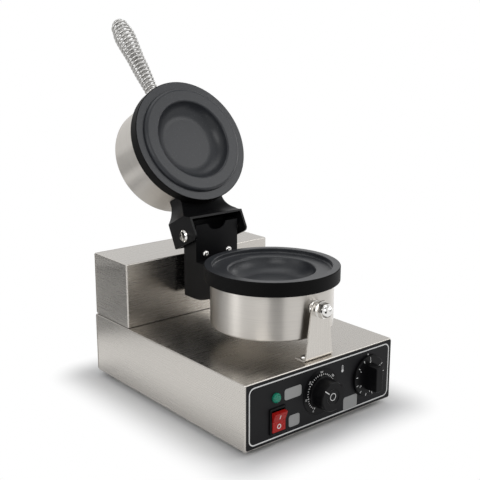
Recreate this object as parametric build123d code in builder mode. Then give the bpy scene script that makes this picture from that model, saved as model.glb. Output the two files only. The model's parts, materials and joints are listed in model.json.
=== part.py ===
"""Countertop press that seals a bun round a filling: two hinged round heated plates on a box base.

X runs to the right as seen from the front, Y to the rear and Z up, in millimetres.
The origin is on the table, under the middle of the base. The lid is drawn open.
"""

import os
from math import atan2, cos, pi, radians, sin, sqrt

from build123d import *

os.makedirs("parts", exist_ok=True)

# base box, folded from stainless sheet, on four feet
base_width = 240.0
base_depth = 320.0
base_height = 80.0
sheet = 1.5
bend_radius = 2.0
foot_height = 9.0
foot_radius = 12.0
foot_taper = 1.5
foot_inset_x = 20.0
foot_inset_y = 22.0
foot_screw_radius = 2.0
foot_screw_head_radius = 4.0
foot_screw_head_height = 2.5
foot_screw_recess = 4.5
foot_screw_length = 12.0
panel_thickness = 1.2
flange_width = 14.0
panel_screw_radius = 1.75
panel_screw_head_radius = 3.2
panel_screw_head_height = 1.8
panel_screw_length = 7.0

# rear housing on the deck
housing_inset = 1.5
housing_height = 86.0
gasket_thickness = 0.7
gasket_width = 10.0
gasket_setback = 1.0

# control panel and what is mounted in it
overlay_thickness = 0.8
overlay_margin = 1.2
overlay_corner = 2.0
lamp_inset = 44.6
lamp_rise = 54.4
lamp_radius = 6.0
lamp_height = 4.5
lamp_facet = 2.2
lamp_barrel_radius = 5.0
lamp_barrel_length = 18.0
switch_inset = 47.0
switch_rise = 26.5
switch_width = 25.0
switch_height = 32.0
switch_bezel = 2.4
switch_bezel_corner = 1.6
switch_body_width = 22.4
switch_body_height = 29.4
switch_body_depth = 22.0
switch_window_width = 19.8
switch_window_height = 27.4
switch_window_depth = 9.6
rocker_gap = 0.3
rocker_depth = 5.8
rocker_half_height = 12.0
rocker_pivot_setback = 0.9
rocker_throw = 20.0
rocker_valley = 10.0
rocker_pin_radius = 1.5
rocker_pin_length = 0.8
thermostat_x = -4.0
thermostat_rise = 42.0
dial_radius = 29.0
dial_thickness = 0.8
dial_knob_radius = 20.0
dial_knob_nose_radius = 18.2
dial_knob_height = 20.0
dial_knob_nose_recess = 0.8
timer_inset = 43.0
timer_rise = 41.5
timer_skirt_radius = 26.5
timer_skirt_height = 4.0
timer_grip_width = 13.0
timer_grip_length = 34.0
timer_grip_height = 16.0
knob_gap = 0.4
shaft_radius = 3.0
shaft_socket = 12.0
shaft_end_gap = 0.4
knob_bore = 11.6
running_gap = 0.05
bushing_radius = 5.0
regulator_radius = 17.0
regulator_depth = 24.0
lock_nut_rim = 2.5
lock_nut_height = 3.0
timer_case_width = 42.0
timer_case_depth = 30.0

# lower heated plate and its drum
plate_radius = 84.3
rim_height = 17.6
recess_radius = 74.3
recess_depth = 6.0
recess_fillet = 2.0
cup_mouth_radius = 54.0
cup_floor_radius = 34.0
cup_depth = 18.0
cup_wall = 5.0
cup_bulge = 4.16
cup_mouth_fillet = 2.5
drum_radius = 76.7
drum_wall = 1.5
drum_clearance = 24.0
drum_height = 57.4
drum_corner = 3.0
element_inner_radius = 62.0
element_width = 9.0
element_height = 7.0
wool_gap = 3.2
wool_height = 24.0
lid_wool_height = 13.0

# lid plate and drum, drawn shut and then carried round the hinge
lid_seal_gap = 0.3
lid_plate_height = 14.8
lid_boss_radius = 73.0
lid_boss_height = 5.5
lid_boss_round = 4.5
lid_drum_height = 61.0
lid_cap_corner = 3.0
hinge_gap = 46.0
hinge_rise = 18.6
lid_open_angle = 117.6

# hinge column and the black hood on the lid
column_half_width = 34.5
column_plate = 3.0
column_depth = 25.0
column_behind_hinge = 14.6
column_above_hinge = 14.4
column_clearance = 32.0
cheek_gap = 0.6
cheek_step = 7.0
cheek_step_run = 28.0
front_plate = 2.0
front_plate_sill = 2.0
notch_width = 30.0
notch_depth = 9.5
plate_gap = 0.2
hood_wall = 3.0
hood_root_half_width = 34.0
hood_half_width = 43.0
hood_flare = 21.6
hood_root_below_hinge = 1.1
hood_root_height = 25.5
hood_headroom = 16.0
hood_behind_hinge = 11.3
hood_below_hinge = 22.1
hood_mouth_before_hinge = 18.4
hood_ear_round = 6.0
pivot_radius = 5.0
pivot_head_radius = 8.0
pivot_head_height = 4.2
pivot_slot_width = 2.2
pivot_slot_depth = 1.8
pivot_side_gap = 0.3
pivot_nut_across = 15.0
pivot_nut_height = 5.0
pivot_gap = 0.08
sleeve_radius = 7.2
cap_screw_radius = 2.5
cap_head_radius = 4.6
cap_head_height = 2.9
cap_socket_across = 3.2
cap_socket_depth = 1.6
cap_screw_length = 10.0
column_screw_x = 19.0
column_screw_rise = 10.6
column_bar_height = 14.0
column_bar_depth = 8.0
mount_half_width = 24.0
mount_depth = 10.0
mount_height = 38.0
mount_bolt_x = 15.0
mount_bolt_z = 11.0
hex_head_across = 10.0
hex_head_height = 4.0
mount_bolt_radius = 3.0

# stainless bracket in front, with the stud that carries the drum
bracket_gap = 7.0
bracket_plate = 2.0
bracket_half_width = 22.5
bracket_neck_half_width = 12.5
bracket_margin = 7.0
bracket_height = 71.0
bracket_top_round = 7.0
bracket_foot = 18.0
bracket_bend = 2.0
bracket_screw_x = 14.0
bracket_screw_setback = 11.0
stud_rise = 61.5
stud_radius = 5.0
stud_nut_across = 17.0
stud_nut_height = 8.0
stud_dome_height = 7.0
washer_radius = 10.0
washer_thickness = 1.8
jam_nut_height = 5.0

# spring-wire handle
handle_above_plate = 35.6
handle_rise = 14.6
grip_length = 148.0
wire_radius = 1.6
spring_turns = 22
spring_root_radius = 9.4
spring_middle_radius = 12.5
spring_full_radius = 15.5
spring_late_radius = 13.0
spring_tip_radius = 7.8
rod_radius = 4.0
rod_inset = 10.0
rod_short = 4.0
rod_nut_rim = 3.5
rod_nut_height = 5.0
ferrule_radius = 7.2
ferrule_length = 5.0

# inlet for the supply cord at the back
gland_inset = 42.0
gland_rise = 31.0
gland_bore = 4.0
gland_thread_radius = 8.0
gland_nut_radius = 11.0
gland_dome_length = 14.0
gland_flange = 4.0
gland_lock_nut = 5.0

# clearance of a screw or barrel in its hole
fit_gap = 0.1

# faces and levels that follow from the sizes, from the control panel to the rear and upward
half_width = base_width / 2
half_depth = base_depth / 2
deck = foot_height + base_height
front_face = -half_depth
rear_face = half_depth
panel_front = front_face - overlay_thickness
shell_rear = rear_face - panel_thickness
bracket_front = front_face + bracket_margin
bracket_rear = bracket_front + bracket_plate
drum_front = bracket_rear + bracket_gap
pan_y = drum_front + drum_radius
hinge_y = pan_y + drum_radius + hinge_gap
column_rear = hinge_y + column_behind_hinge
column_front = column_rear - column_depth
housing_front = column_rear + mount_depth
housing_bottom = deck + gasket_thickness
housing_top = deck + housing_height
housing_half_width = half_width - housing_inset
drum_floor = deck + drum_clearance
plate_bottom = drum_floor + drum_height
rim_top = plate_bottom + rim_height
recess_floor = rim_top - recess_depth
hinge_z = rim_top + hinge_rise
lid_face = rim_top + lid_seal_gap
lid_back = lid_face + lid_plate_height
lid_top = lid_back + lid_drum_height
handle_z = lid_back + handle_above_plate
stud_z = deck + stud_rise
bracket_top = deck + bracket_height
column_bottom = deck + column_clearance
column_top = hinge_z + column_above_hinge
cheek_top = plate_bottom - cheek_gap
cheek_step_bottom = column_bottom + cheek_step
column_screw_z = plate_bottom + column_screw_rise
mount_bottom = column_bottom + cheek_step
mount_top = mount_bottom + mount_height
hood_flare_start = pan_y + drum_radius
hood_flare_end = hood_flare_start + hood_flare
hood_root_bottom = hinge_z - hood_root_below_hinge
hood_root_top = hood_root_bottom + hood_root_height
hood_top = column_top + hood_headroom
hood_rear = hinge_y + hood_behind_hinge
hood_ear_bottom = hinge_z - hood_below_hinge
hood_mouth = hinge_y - hood_mouth_before_hinge
element_outer_radius = element_inner_radius + element_width
wool_radius = drum_radius - drum_wall - wool_gap
lamp_x = lamp_inset - half_width
lamp_z = foot_height + lamp_rise
switch_x = switch_inset - half_width
switch_z = foot_height + switch_rise
thermostat_z = foot_height + thermostat_rise
timer_x = half_width - timer_inset
timer_z = foot_height + timer_rise
gland_x = gland_inset - half_width
gland_z = foot_height + gland_rise

lid_swing = (
    Location((0, hinge_y, hinge_z))
    * Location((0, 0, 0), (-lid_open_angle, 0, 0))
    * Location((0, -hinge_y, -hinge_z))
)


def on_lid(plane):
    """The plane of the shut lid, carried round the hinge to where the open lid has it."""
    return Plane(lid_swing * plane.location)


def facing(x, y, z):
    """A plane that looks to the front of the press, with local x to the right and local y up."""
    return Plane(origin=(x, y, z), x_dir=(1, 0, 0), z_dir=(0, -1, 0))


def looking_back(x, y, z):
    """A plane that looks to the rear, with local x to the left and local y up."""
    return Plane(origin=(x, y, z), x_dir=(-1, 0, 0), z_dir=(0, 1, 0))


# base shell: deck, sides and front in one folded sheet, with returns at the back for the rear panel
with BuildPart() as base_shell:
    with BuildSketch(Plane.XY.offset(foot_height)):
        with Locations((0, (front_face + shell_rear) / 2)):
            Rectangle(base_width, shell_rear - front_face)
    extrude(amount=base_height)
    upright = base_shell.edges().filter_by(Axis.Z)
    fillet(upright, bend_radius)
    fillet(base_shell.faces().sort_by(Axis.Z)[-1].edges(), bend_radius * 0.6)
    with BuildSketch(Plane.XY.offset(foot_height)):
        with Locations((0, (front_face + shell_rear) / 2)):
            Rectangle(base_width - 2 * sheet, shell_rear - front_face - 2 * sheet)
    extrude(amount=base_height - sheet, mode=Mode.SUBTRACT)
    with BuildSketch(looking_back(0, shell_rear, foot_height + base_height / 2)):
        Rectangle(base_width - 2 * flange_width, base_height - 2 * flange_width)
    extrude(amount=-2 * sheet, mode=Mode.SUBTRACT)
    with Locations(facing(lamp_x, front_face, lamp_z)):
        Hole(lamp_barrel_radius + fit_gap, 2 * sheet)
    with Locations(facing(thermostat_x, front_face, thermostat_z), facing(timer_x, front_face, timer_z)):
        Hole(bushing_radius + fit_gap, 2 * sheet)
    with BuildSketch(facing(switch_x, front_face, switch_z)):
        Rectangle(switch_body_width + 2 * fit_gap, switch_body_height + 2 * fit_gap)
    extrude(amount=-2 * sheet, mode=Mode.SUBTRACT)

foot_spots = [
    (side_x * (half_width - foot_inset_x), side_y * (half_depth - foot_inset_y))
    for side_x in (-1, 1)
    for side_y in (-1, 1)
]

# floor tray, let in between the walls of the shell
with BuildPart() as base_floor:
    with BuildSketch(Plane.XY.offset(foot_height)):
        with Locations((0, (front_face + shell_rear) / 2)):
            Rectangle(
                base_width - 2 * sheet - 2 * fit_gap,
                shell_rear - front_face - 2 * sheet - 2 * fit_gap,
            )
        with Locations(foot_spots):
            Circle(foot_screw_radius + fit_gap, mode=Mode.SUBTRACT)
    extrude(amount=sheet)

# rear panel of the base, screwed to the returns
base_panel_screws = [
    (side * (half_width - flange_width / 2), foot_height + base_height / 2 + rise)
    for side in (-1, 1)
    for rise in (-base_height / 2 + flange_width / 2, base_height / 2 - flange_width / 2)
]
with BuildPart() as base_back_panel:
    with BuildSketch(looking_back(0, shell_rear, foot_height + base_height / 2)):
        RectangleRounded(base_width - 2 * fit_gap, base_height - 2 * fit_gap, bend_radius)
    extrude(amount=panel_thickness)
    with Locations(*[looking_back(x, rear_face, z) for x, z in base_panel_screws]):
        Hole(panel_screw_radius + fit_gap, 2 * panel_thickness)
    with Locations(looking_back(gland_x, rear_face, gland_z)):
        Hole(gland_thread_radius + fit_gap, 2 * panel_thickness)

# holes in the returns for the same screws
with BuildPart(mode=Mode.PRIVATE) as base_return_holes:
    for x, z in base_panel_screws:
        with BuildSketch(looking_back(x, shell_rear, z)):
            Circle(panel_screw_radius + fit_gap)
        extrude(amount=-2 * sheet)
with base_shell:
    add(base_return_holes.part, mode=Mode.SUBTRACT)

# feet and the screws that hold them
with BuildPart() as rubber_feet:
    for x, y in foot_spots:
        with BuildSketch(Plane((x, y, 0), x_dir=(1, 0, 0), z_dir=(0, -1, 0))):
            with BuildLine():
                Polyline(
                    (foot_screw_radius + fit_gap, foot_height),
                    (foot_radius, foot_height),
                    (foot_radius, foot_height - 2.0),
                    (foot_radius - foot_taper, 1.0),
                    (foot_radius - foot_taper - 1.0, 0),
                    (foot_screw_head_radius + 1.0, 0),
                    (foot_screw_head_radius + 1.0, foot_screw_recess),
                    (foot_screw_radius + fit_gap, foot_screw_recess),
                    close=True,
                )
            make_face()
        revolve(axis=Axis((x, y, 0), (0, 0, 1)))

with BuildPart() as foot_screws:
    for x, y in foot_spots:
        with BuildSketch(Plane.XY.offset(foot_screw_recess)):
            with Locations((x, y)):
                Circle(foot_screw_head_radius)
        extrude(amount=-foot_screw_head_height)
        with BuildSketch(Plane.XY.offset(foot_screw_recess)):
            with Locations((x, y)):
                Circle(foot_screw_radius)
        extrude(amount=foot_screw_length)

# rear housing on its dark gasket
with BuildPart() as housing_gasket:
    with BuildSketch(Plane.XY.offset(deck)):
        with Locations((0, (housing_front + shell_rear) / 2)):
            Rectangle(
                2 * housing_half_width - 2 * gasket_setback,
                shell_rear - housing_front - 2 * gasket_setback,
            )
            Rectangle(
                2 * housing_half_width - 2 * gasket_setback - 2 * gasket_width,
                shell_rear - housing_front - 2 * gasket_setback - 2 * gasket_width,
                mode=Mode.SUBTRACT,
            )
    extrude(amount=gasket_thickness)

mount_middle = (mount_bottom + mount_top) / 2
mount_bolts = [
    (side * mount_bolt_x, mount_middle + rise) for side in (-1, 1) for rise in (-mount_bolt_z, mount_bolt_z)
]
housing_middle = (housing_bottom + housing_top) / 2
housing_panel_screws = [
    (side * (housing_half_width - flange_width / 2), housing_middle + rise)
    for side in (-1, 1)
    for rise in (-housing_height / 2 + flange_width / 2, housing_height / 2 - flange_width / 2)
]
with BuildPart() as housing_shell:
    with BuildSketch(Plane.XY.offset(housing_bottom)):
        with Locations((0, (housing_front + shell_rear) / 2)):
            Rectangle(2 * housing_half_width, shell_rear - housing_front)
    extrude(amount=housing_top - housing_bottom)
    fillet(housing_shell.edges().filter_by(Axis.Z), bend_radius)
    fillet(housing_shell.faces().sort_by(Axis.Z)[-1].edges(), bend_radius * 0.6)
    with BuildSketch(Plane.XY.offset(housing_bottom)):
        with Locations((0, (housing_front + shell_rear) / 2)):
            Rectangle(2 * housing_half_width - 2 * sheet, shell_rear - housing_front - 2 * sheet)
    extrude(amount=housing_top - housing_bottom - sheet, mode=Mode.SUBTRACT)
    with BuildSketch(looking_back(0, shell_rear, housing_middle)):
        Rectangle(
            2 * housing_half_width - 2 * flange_width,
            housing_top - housing_bottom - 2 * flange_width,
        )
    extrude(amount=-2 * sheet, mode=Mode.SUBTRACT)
    for x, z in housing_panel_screws:
        with BuildSketch(looking_back(x, shell_rear, z)):
            Circle(panel_screw_radius + fit_gap)
        extrude(amount=-2 * sheet, mode=Mode.SUBTRACT)
    for x, z in mount_bolts:
        with BuildSketch(facing(x, housing_front, z)):
            Circle(mount_bolt_radius + fit_gap)
        extrude(amount=-2 * sheet, mode=Mode.SUBTRACT)

with BuildPart() as housing_back_panel:
    with BuildSketch(looking_back(0, shell_rear, housing_middle)):
        RectangleRounded(
            2 * housing_half_width - 2 * fit_gap,
            housing_top - housing_bottom - 2 * fit_gap,
            bend_radius,
        )
    extrude(amount=panel_thickness)
    with Locations(*[looking_back(x, rear_face, z) for x, z in housing_panel_screws]):
        Hole(panel_screw_radius + fit_gap, 2 * panel_thickness)

with BuildPart() as panel_screws:
    for x, z in base_panel_screws + housing_panel_screws:
        with BuildSketch(looking_back(x, rear_face, z)):
            Circle(panel_screw_head_radius)
        extrude(amount=panel_screw_head_height, taper=18)
        with BuildSketch(looking_back(x, rear_face, z)):
            Circle(panel_screw_radius)
        extrude(amount=-panel_screw_length)

# inlet for the supply cord: flange and dome nut outside, lock nut inside
with BuildPart() as cable_gland:
    gland_plane = Plane(origin=(gland_x, rear_face, gland_z), x_dir=(1, 0, 0), z_dir=(0, 0, 1))
    with BuildSketch(gland_plane):
        with BuildLine():
            Polyline(
                (gland_bore, -panel_thickness - gland_lock_nut),
                (gland_thread_radius, -panel_thickness - gland_lock_nut),
                (gland_thread_radius, 0),
                (gland_nut_radius, 0),
                (gland_nut_radius, gland_flange),
                (gland_nut_radius - 1.2, gland_flange),
                (gland_nut_radius - 1.2, gland_dome_length),
                (gland_bore + 2.0, gland_dome_length + 4.0),
                (gland_bore, gland_dome_length + 4.0),
                close=True,
            )
        make_face()
    revolve(axis=Axis((gland_x, rear_face, gland_z), (0, 1, 0)))
    with BuildSketch(looking_back(gland_x, shell_rear, gland_z)):
        RegularPolygon(gland_nut_radius, 6)
        Circle(gland_thread_radius - 0.5, mode=Mode.SUBTRACT)
    extrude(amount=-gland_lock_nut + 1.0)

# control panel: a dark overlay over the whole front
with BuildPart() as control_panel:
    with BuildSketch(facing(0, front_face, foot_height + base_height / 2)):
        RectangleRounded(base_width - 2 * overlay_margin, base_height - 2 * overlay_margin, overlay_corner)
    extrude(amount=overlay_thickness)
    with Locations(facing(lamp_x, panel_front, lamp_z)):
        Hole(lamp_barrel_radius + fit_gap, 2 * sheet)
    with Locations(facing(thermostat_x, panel_front, thermostat_z), facing(timer_x, panel_front, timer_z)):
        Hole(bushing_radius + fit_gap, 2 * sheet)
    with BuildSketch(facing(switch_x, panel_front, switch_z)):
        Rectangle(switch_body_width + 2 * fit_gap, switch_body_height + 2 * fit_gap)
    extrude(amount=-2 * overlay_thickness, mode=Mode.SUBTRACT)

# indicator lamp: faceted lens in front, barrel behind
with BuildPart() as lamp_lens:
    with BuildSketch(facing(lamp_x, panel_front, lamp_z)):
        RegularPolygon(lamp_radius, 12)
    extrude(amount=lamp_height - lamp_facet)
    with BuildSketch(facing(lamp_x, panel_front - lamp_height + lamp_facet, lamp_z)):
        RegularPolygon(lamp_radius, 12)
    extrude(amount=lamp_facet, taper=42)

with BuildPart() as lamp_barrel:
    with BuildSketch(facing(lamp_x, panel_front, lamp_z)):
        Circle(lamp_barrel_radius)
    extrude(amount=-lamp_barrel_length)
    with BuildSketch(facing(lamp_x, front_face + sheet, lamp_z)):
        RegularPolygon(lamp_barrel_radius + lock_nut_rim, 6)
    extrude(amount=-lock_nut_height)

# rocker switch: frame and case in one moulding, with a well for the rocker
switch_face = panel_front - switch_bezel
rocker_pivot_y = panel_front + rocker_pivot_setback
rocker_half_width = switch_window_width / 2 - rocker_gap
with BuildPart() as switch_body:
    with BuildSketch(facing(switch_x, panel_front, switch_z)):
        RectangleRounded(switch_width, switch_height, switch_bezel_corner)
    extrude(amount=switch_bezel)
    bezel_front = switch_body.faces().sort_by(Axis.Y)[0]
    fillet(bezel_front.edges(), switch_bezel * 0.35)
    with BuildSketch(facing(switch_x, panel_front, switch_z)):
        Rectangle(switch_body_width, switch_body_height)
    extrude(amount=-switch_body_depth)
    with BuildSketch(facing(switch_x, switch_face, switch_z)):
        Rectangle(switch_window_width, switch_window_height)
    extrude(amount=-switch_bezel - switch_window_depth, mode=Mode.SUBTRACT)
    pin_reach = 2 * (rocker_half_width + rocker_pin_length + rocker_gap)
    with Locations(Location((switch_x, rocker_pivot_y, switch_z), (0, 90, 0))):
        Cylinder(rocker_pin_radius + running_gap, pin_reach, mode=Mode.SUBTRACT)

# rocker: a shallow V in front, drawn level and then tipped to off
rocker_ramp = rocker_half_height * sin(radians(rocker_valley)) / cos(radians(rocker_valley))
rocker_off = Plane(
    origin=(switch_x - rocker_half_width, rocker_pivot_y, switch_z),
    x_dir=(0, -cos(radians(rocker_throw / 2)), -sin(radians(rocker_throw / 2))),
    z_dir=(1, 0, 0),
)
with BuildPart() as rocker:
    with BuildSketch(rocker_off):
        with BuildLine():
            Polyline(
                (rocker_depth - 1.4 + rocker_ramp, -rocker_half_height),
                (rocker_depth - 1.4, 0),
                (rocker_depth - 1.4 + rocker_ramp, rocker_half_height),
                (0.5, rocker_half_height - 0.6),
                (-4.0, rocker_half_height * 0.45),
                (-4.0, -rocker_half_height * 0.45),
                (0.5, -rocker_half_height + 0.6),
                close=True,
            )
        make_face()
    extrude(amount=2 * rocker_half_width)
    with Locations(Location((switch_x, rocker_pivot_y, switch_z), (0, 90, 0))):
        Cylinder(rocker_pin_radius, 2 * (rocker_half_width + rocker_pin_length))

# thermostat: regulator behind the front, fixed dial and turning knob in front
shaft_back = front_face + sheet + shaft_socket - shaft_end_gap
with BuildPart() as thermostat_regulator:
    with BuildSketch(facing(thermostat_x, front_face + sheet, thermostat_z)):
        Circle(regulator_radius)
    extrude(amount=-regulator_depth)
    with BuildSketch(facing(thermostat_x, front_face + sheet, thermostat_z)):
        Circle(bushing_radius)
    extrude(amount=sheet + overlay_thickness)
    with BuildSketch(facing(thermostat_x, panel_front, thermostat_z)):
        Circle(shaft_radius + running_gap)
    extrude(amount=-overlay_thickness - sheet - shaft_socket, mode=Mode.SUBTRACT)

with BuildPart() as thermostat_dial:
    with BuildSketch(facing(thermostat_x, panel_front, thermostat_z)):
        Circle(dial_radius)
        Circle(shaft_radius + 1.0, mode=Mode.SUBTRACT)
    extrude(amount=dial_thickness)
    fillet(thermostat_dial.edges().filter_by(GeomType.CIRCLE).sort_by(Axis.Y)[0:1], 0.3)

dial_knob_back = panel_front - dial_thickness - knob_gap
dial_knob_face = dial_knob_back - dial_knob_height
with BuildPart() as thermostat_knob:
    with BuildSketch(Plane(origin=(thermostat_x, dial_knob_back, thermostat_z), x_dir=(1, 0, 0), z_dir=(0, 0, 1))):
        with BuildLine():
            Polyline(
                (0, 0),
                (dial_knob_radius, 0),
                (dial_knob_radius, -3.0),
                (dial_knob_radius - 0.7, -3.6),
                (dial_knob_nose_radius, -dial_knob_height + 1.2),
                (dial_knob_nose_radius - 1.2, -dial_knob_height),
                (dial_knob_nose_radius * 0.55, -dial_knob_height),
                (dial_knob_nose_radius * 0.5, -dial_knob_height + dial_knob_nose_recess),
                (0, -dial_knob_height + dial_knob_nose_recess),
                close=True,
            )
        make_face()
    revolve(axis=Axis((thermostat_x, 0, thermostat_z), (0, 1, 0)))
    with BuildSketch(facing(thermostat_x, dial_knob_back, thermostat_z)):
        Circle(shaft_radius + running_gap)
    extrude(amount=knob_bore, mode=Mode.SUBTRACT)

with BuildPart() as thermostat_shaft:
    with BuildSketch(facing(thermostat_x, shaft_back, thermostat_z)):
        Circle(shaft_radius)
    extrude(amount=shaft_back - dial_knob_back + knob_bore - shaft_end_gap)

# timer: case behind the front, knob with a wide skirt and a bar to turn it by
with BuildPart() as timer_case:
    with BuildSketch(facing(timer_x, front_face + sheet, timer_z)):
        RectangleRounded(timer_case_width, timer_case_width, 3.0)
    extrude(amount=-timer_case_depth)
    with BuildSketch(facing(timer_x, front_face + sheet, timer_z)):
        Circle(bushing_radius)
    extrude(amount=sheet + overlay_thickness)
    with BuildSketch(facing(timer_x, panel_front, timer_z)):
        Circle(shaft_radius + running_gap)
    extrude(amount=-overlay_thickness - sheet - shaft_socket, mode=Mode.SUBTRACT)

timer_knob_back = panel_front - knob_gap
with BuildPart() as timer_knob:
    with BuildSketch(facing(timer_x, timer_knob_back, timer_z)):
        Circle(timer_skirt_radius)
    extrude(amount=timer_skirt_height)
    fillet(timer_knob.faces().sort_by(Axis.Y)[0].edges(), 1.2)
    with BuildSketch(facing(timer_x, timer_knob_back - timer_skirt_height, timer_z)):
        Circle(timer_grip_length / 2)
        Rectangle(timer_grip_width, timer_grip_length, mode=Mode.INTERSECT)
    extrude(amount=timer_grip_height, taper=3)
    grip_front = timer_knob.faces().sort_by(Axis.Y)[0]
    fillet(grip_front.edges(), 1.0)
    with BuildSketch(facing(timer_x, timer_knob_back, timer_z)):
        Circle(shaft_radius + running_gap)
    extrude(amount=knob_bore, mode=Mode.SUBTRACT)

with BuildPart() as timer_shaft:
    with BuildSketch(facing(timer_x, shaft_back, timer_z)):
        Circle(shaft_radius)
    extrude(amount=shaft_back - timer_knob_back + knob_bore - shaft_end_gap)

# lower plate: one casting with a raised rim, a flat ring and a round cup
pan_axis = Axis((0, pan_y, 0), (0, 0, 1))
pan_section = Plane(origin=(0, pan_y, 0), x_dir=(1, 0, 0), z_dir=(0, -1, 0))


def cup_slope(mouth_level, floor_level, side):
    """The cup's wall from mouth to floor, as points of its generous curve on one side of the plate."""
    return ThreePointArc(
        (cup_mouth_radius + side, mouth_level),
        (
            (cup_mouth_radius + cup_floor_radius) / 2 + side + cup_bulge,
            (mouth_level + floor_level) / 2 - abs(mouth_level - floor_level) * 0.16
            if floor_level < mouth_level
            else (mouth_level + floor_level) / 2 + abs(mouth_level - floor_level) * 0.16,
        ),
        (cup_floor_radius + side, floor_level),
    )


cup_floor = recess_floor - cup_depth
with BuildPart() as lower_plate:
    with BuildSketch(pan_section):
        with BuildLine():
            Polyline(
                (0, cup_floor - cup_wall),
                (0, cup_floor),
                (cup_floor_radius, cup_floor),
            )
            cup_slope(recess_floor, cup_floor, 0)
            Polyline(
                (cup_mouth_radius, recess_floor),
                (recess_radius, recess_floor),
                (recess_radius, rim_top),
                (plate_radius, rim_top),
                (plate_radius, plate_bottom),
                (cup_mouth_radius + cup_wall, plate_bottom),
            )
            Line((cup_mouth_radius + cup_wall, plate_bottom), (cup_floor_radius + cup_wall, cup_floor - cup_wall))
            Line((cup_floor_radius + cup_wall, cup_floor - cup_wall), (0, cup_floor - cup_wall))
        make_face()
    revolve(axis=pan_axis)
    circles = lower_plate.edges().filter_by(GeomType.CIRCLE)
    fillet(
        [e for e in circles if abs(e.radius - recess_radius) < 0.01 and abs(e.center().Z - recess_floor) < 0.01],
        recess_fillet,
    )
    circles = lower_plate.edges().filter_by(GeomType.CIRCLE)
    fillet(
        [e for e in circles if abs(e.radius - cup_mouth_radius) < 0.01 and abs(e.center().Z - recess_floor) < 0.01],
        cup_mouth_fillet,
    )
    circles = lower_plate.edges().filter_by(GeomType.CIRCLE)
    fillet(
        [e for e in circles if e.radius > recess_radius - 0.01 and abs(e.center().Z - rim_top) < 0.01],
        0.9,
    )

# drum under it, bolted to the column behind and to the bracket in front
column_cut_radius = drum_radius + plate_gap
with BuildPart() as lower_drum:
    with BuildSketch(pan_section):
        with BuildLine():
            FilletPolyline(
                (0, drum_floor),
                (drum_radius, drum_floor),
                (drum_radius, plate_bottom),
                radius=drum_corner,
            )
            Line((drum_radius, plate_bottom), (drum_radius - drum_wall, plate_bottom))
            FilletPolyline(
                (drum_radius - drum_wall, plate_bottom),
                (drum_radius - drum_wall, drum_floor + drum_wall),
                (0, drum_floor + drum_wall),
                radius=drum_corner - drum_wall,
            )
            Line((0, drum_floor + drum_wall), (0, drum_floor))
        make_face()
    revolve(axis=pan_axis)
    with BuildSketch(facing(0, drum_front - drum_wall, stud_z)):
        Circle(stud_radius + fit_gap)
    extrude(amount=-4 * drum_wall, mode=Mode.SUBTRACT)

with BuildPart() as lower_element:
    with BuildSketch(Plane.XY.offset(plate_bottom)):
        with Locations((0, pan_y)):
            Circle(element_outer_radius)
            Circle(element_inner_radius, mode=Mode.SUBTRACT)
    extrude(amount=-element_height)

with BuildPart() as lower_wool:
    with BuildSketch(Plane.XY.offset(drum_floor + drum_wall)):
        with Locations((0, pan_y)):
            Circle(wool_radius)
    extrude(amount=wool_height)

# bracket in front of the drum: a tapering upright and a foot turned back along the deck
bracket_reach = bracket_front + bracket_foot
with BuildPart() as support_bracket:
    with BuildSketch(Plane(origin=(bracket_half_width, 0, 0), x_dir=(0, 1, 0), z_dir=(1, 0, 0))):
        with BuildLine():
            FilletPolyline(
                (bracket_reach, deck),
                (bracket_front, deck),
                (bracket_front, bracket_top),
                radius=bracket_bend + bracket_plate,
            )
            Line((bracket_front, bracket_top), (bracket_rear, bracket_top))
            FilletPolyline(
                (bracket_rear, bracket_top),
                (bracket_rear, deck + bracket_plate),
                (bracket_reach, deck + bracket_plate),
                radius=bracket_bend,
            )
            Line((bracket_reach, deck + bracket_plate), (bracket_reach, deck))
        make_face()
    extrude(amount=-2 * bracket_half_width)
    with BuildSketch(facing(0, bracket_front, 0)):
        with BuildLine():
            FilletPolyline(
                (-bracket_half_width, deck),
                (-bracket_neck_half_width, bracket_top),
                (bracket_neck_half_width, bracket_top),
                (bracket_half_width, deck),
                radius=bracket_top_round,
            )
            Line((bracket_half_width, deck), (-bracket_half_width, deck))
        make_face()
    extrude(amount=-bracket_foot, mode=Mode.INTERSECT)
    with BuildSketch(facing(0, bracket_front, stud_z)):
        Circle(stud_radius + fit_gap)
    extrude(amount=-2 * bracket_plate, mode=Mode.SUBTRACT)
    with BuildSketch(Plane.XY.offset(deck)):
        with Locations((-bracket_screw_x, bracket_front + bracket_screw_setback)):
            Circle(cap_screw_radius + fit_gap)
        with Locations((bracket_screw_x, bracket_front + bracket_screw_setback)):
            Circle(cap_screw_radius + fit_gap)
    extrude(amount=2 * bracket_plate, mode=Mode.SUBTRACT)

bracket_screw_spots = [
    (side * bracket_screw_x, bracket_front + bracket_screw_setback) for side in (-1, 1)
]
with base_shell:
    with BuildSketch(Plane.XY.offset(deck)):
        with Locations(bracket_screw_spots):
            Circle(cap_screw_radius + fit_gap)
    extrude(amount=-2 * sheet, mode=Mode.SUBTRACT)


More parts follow.
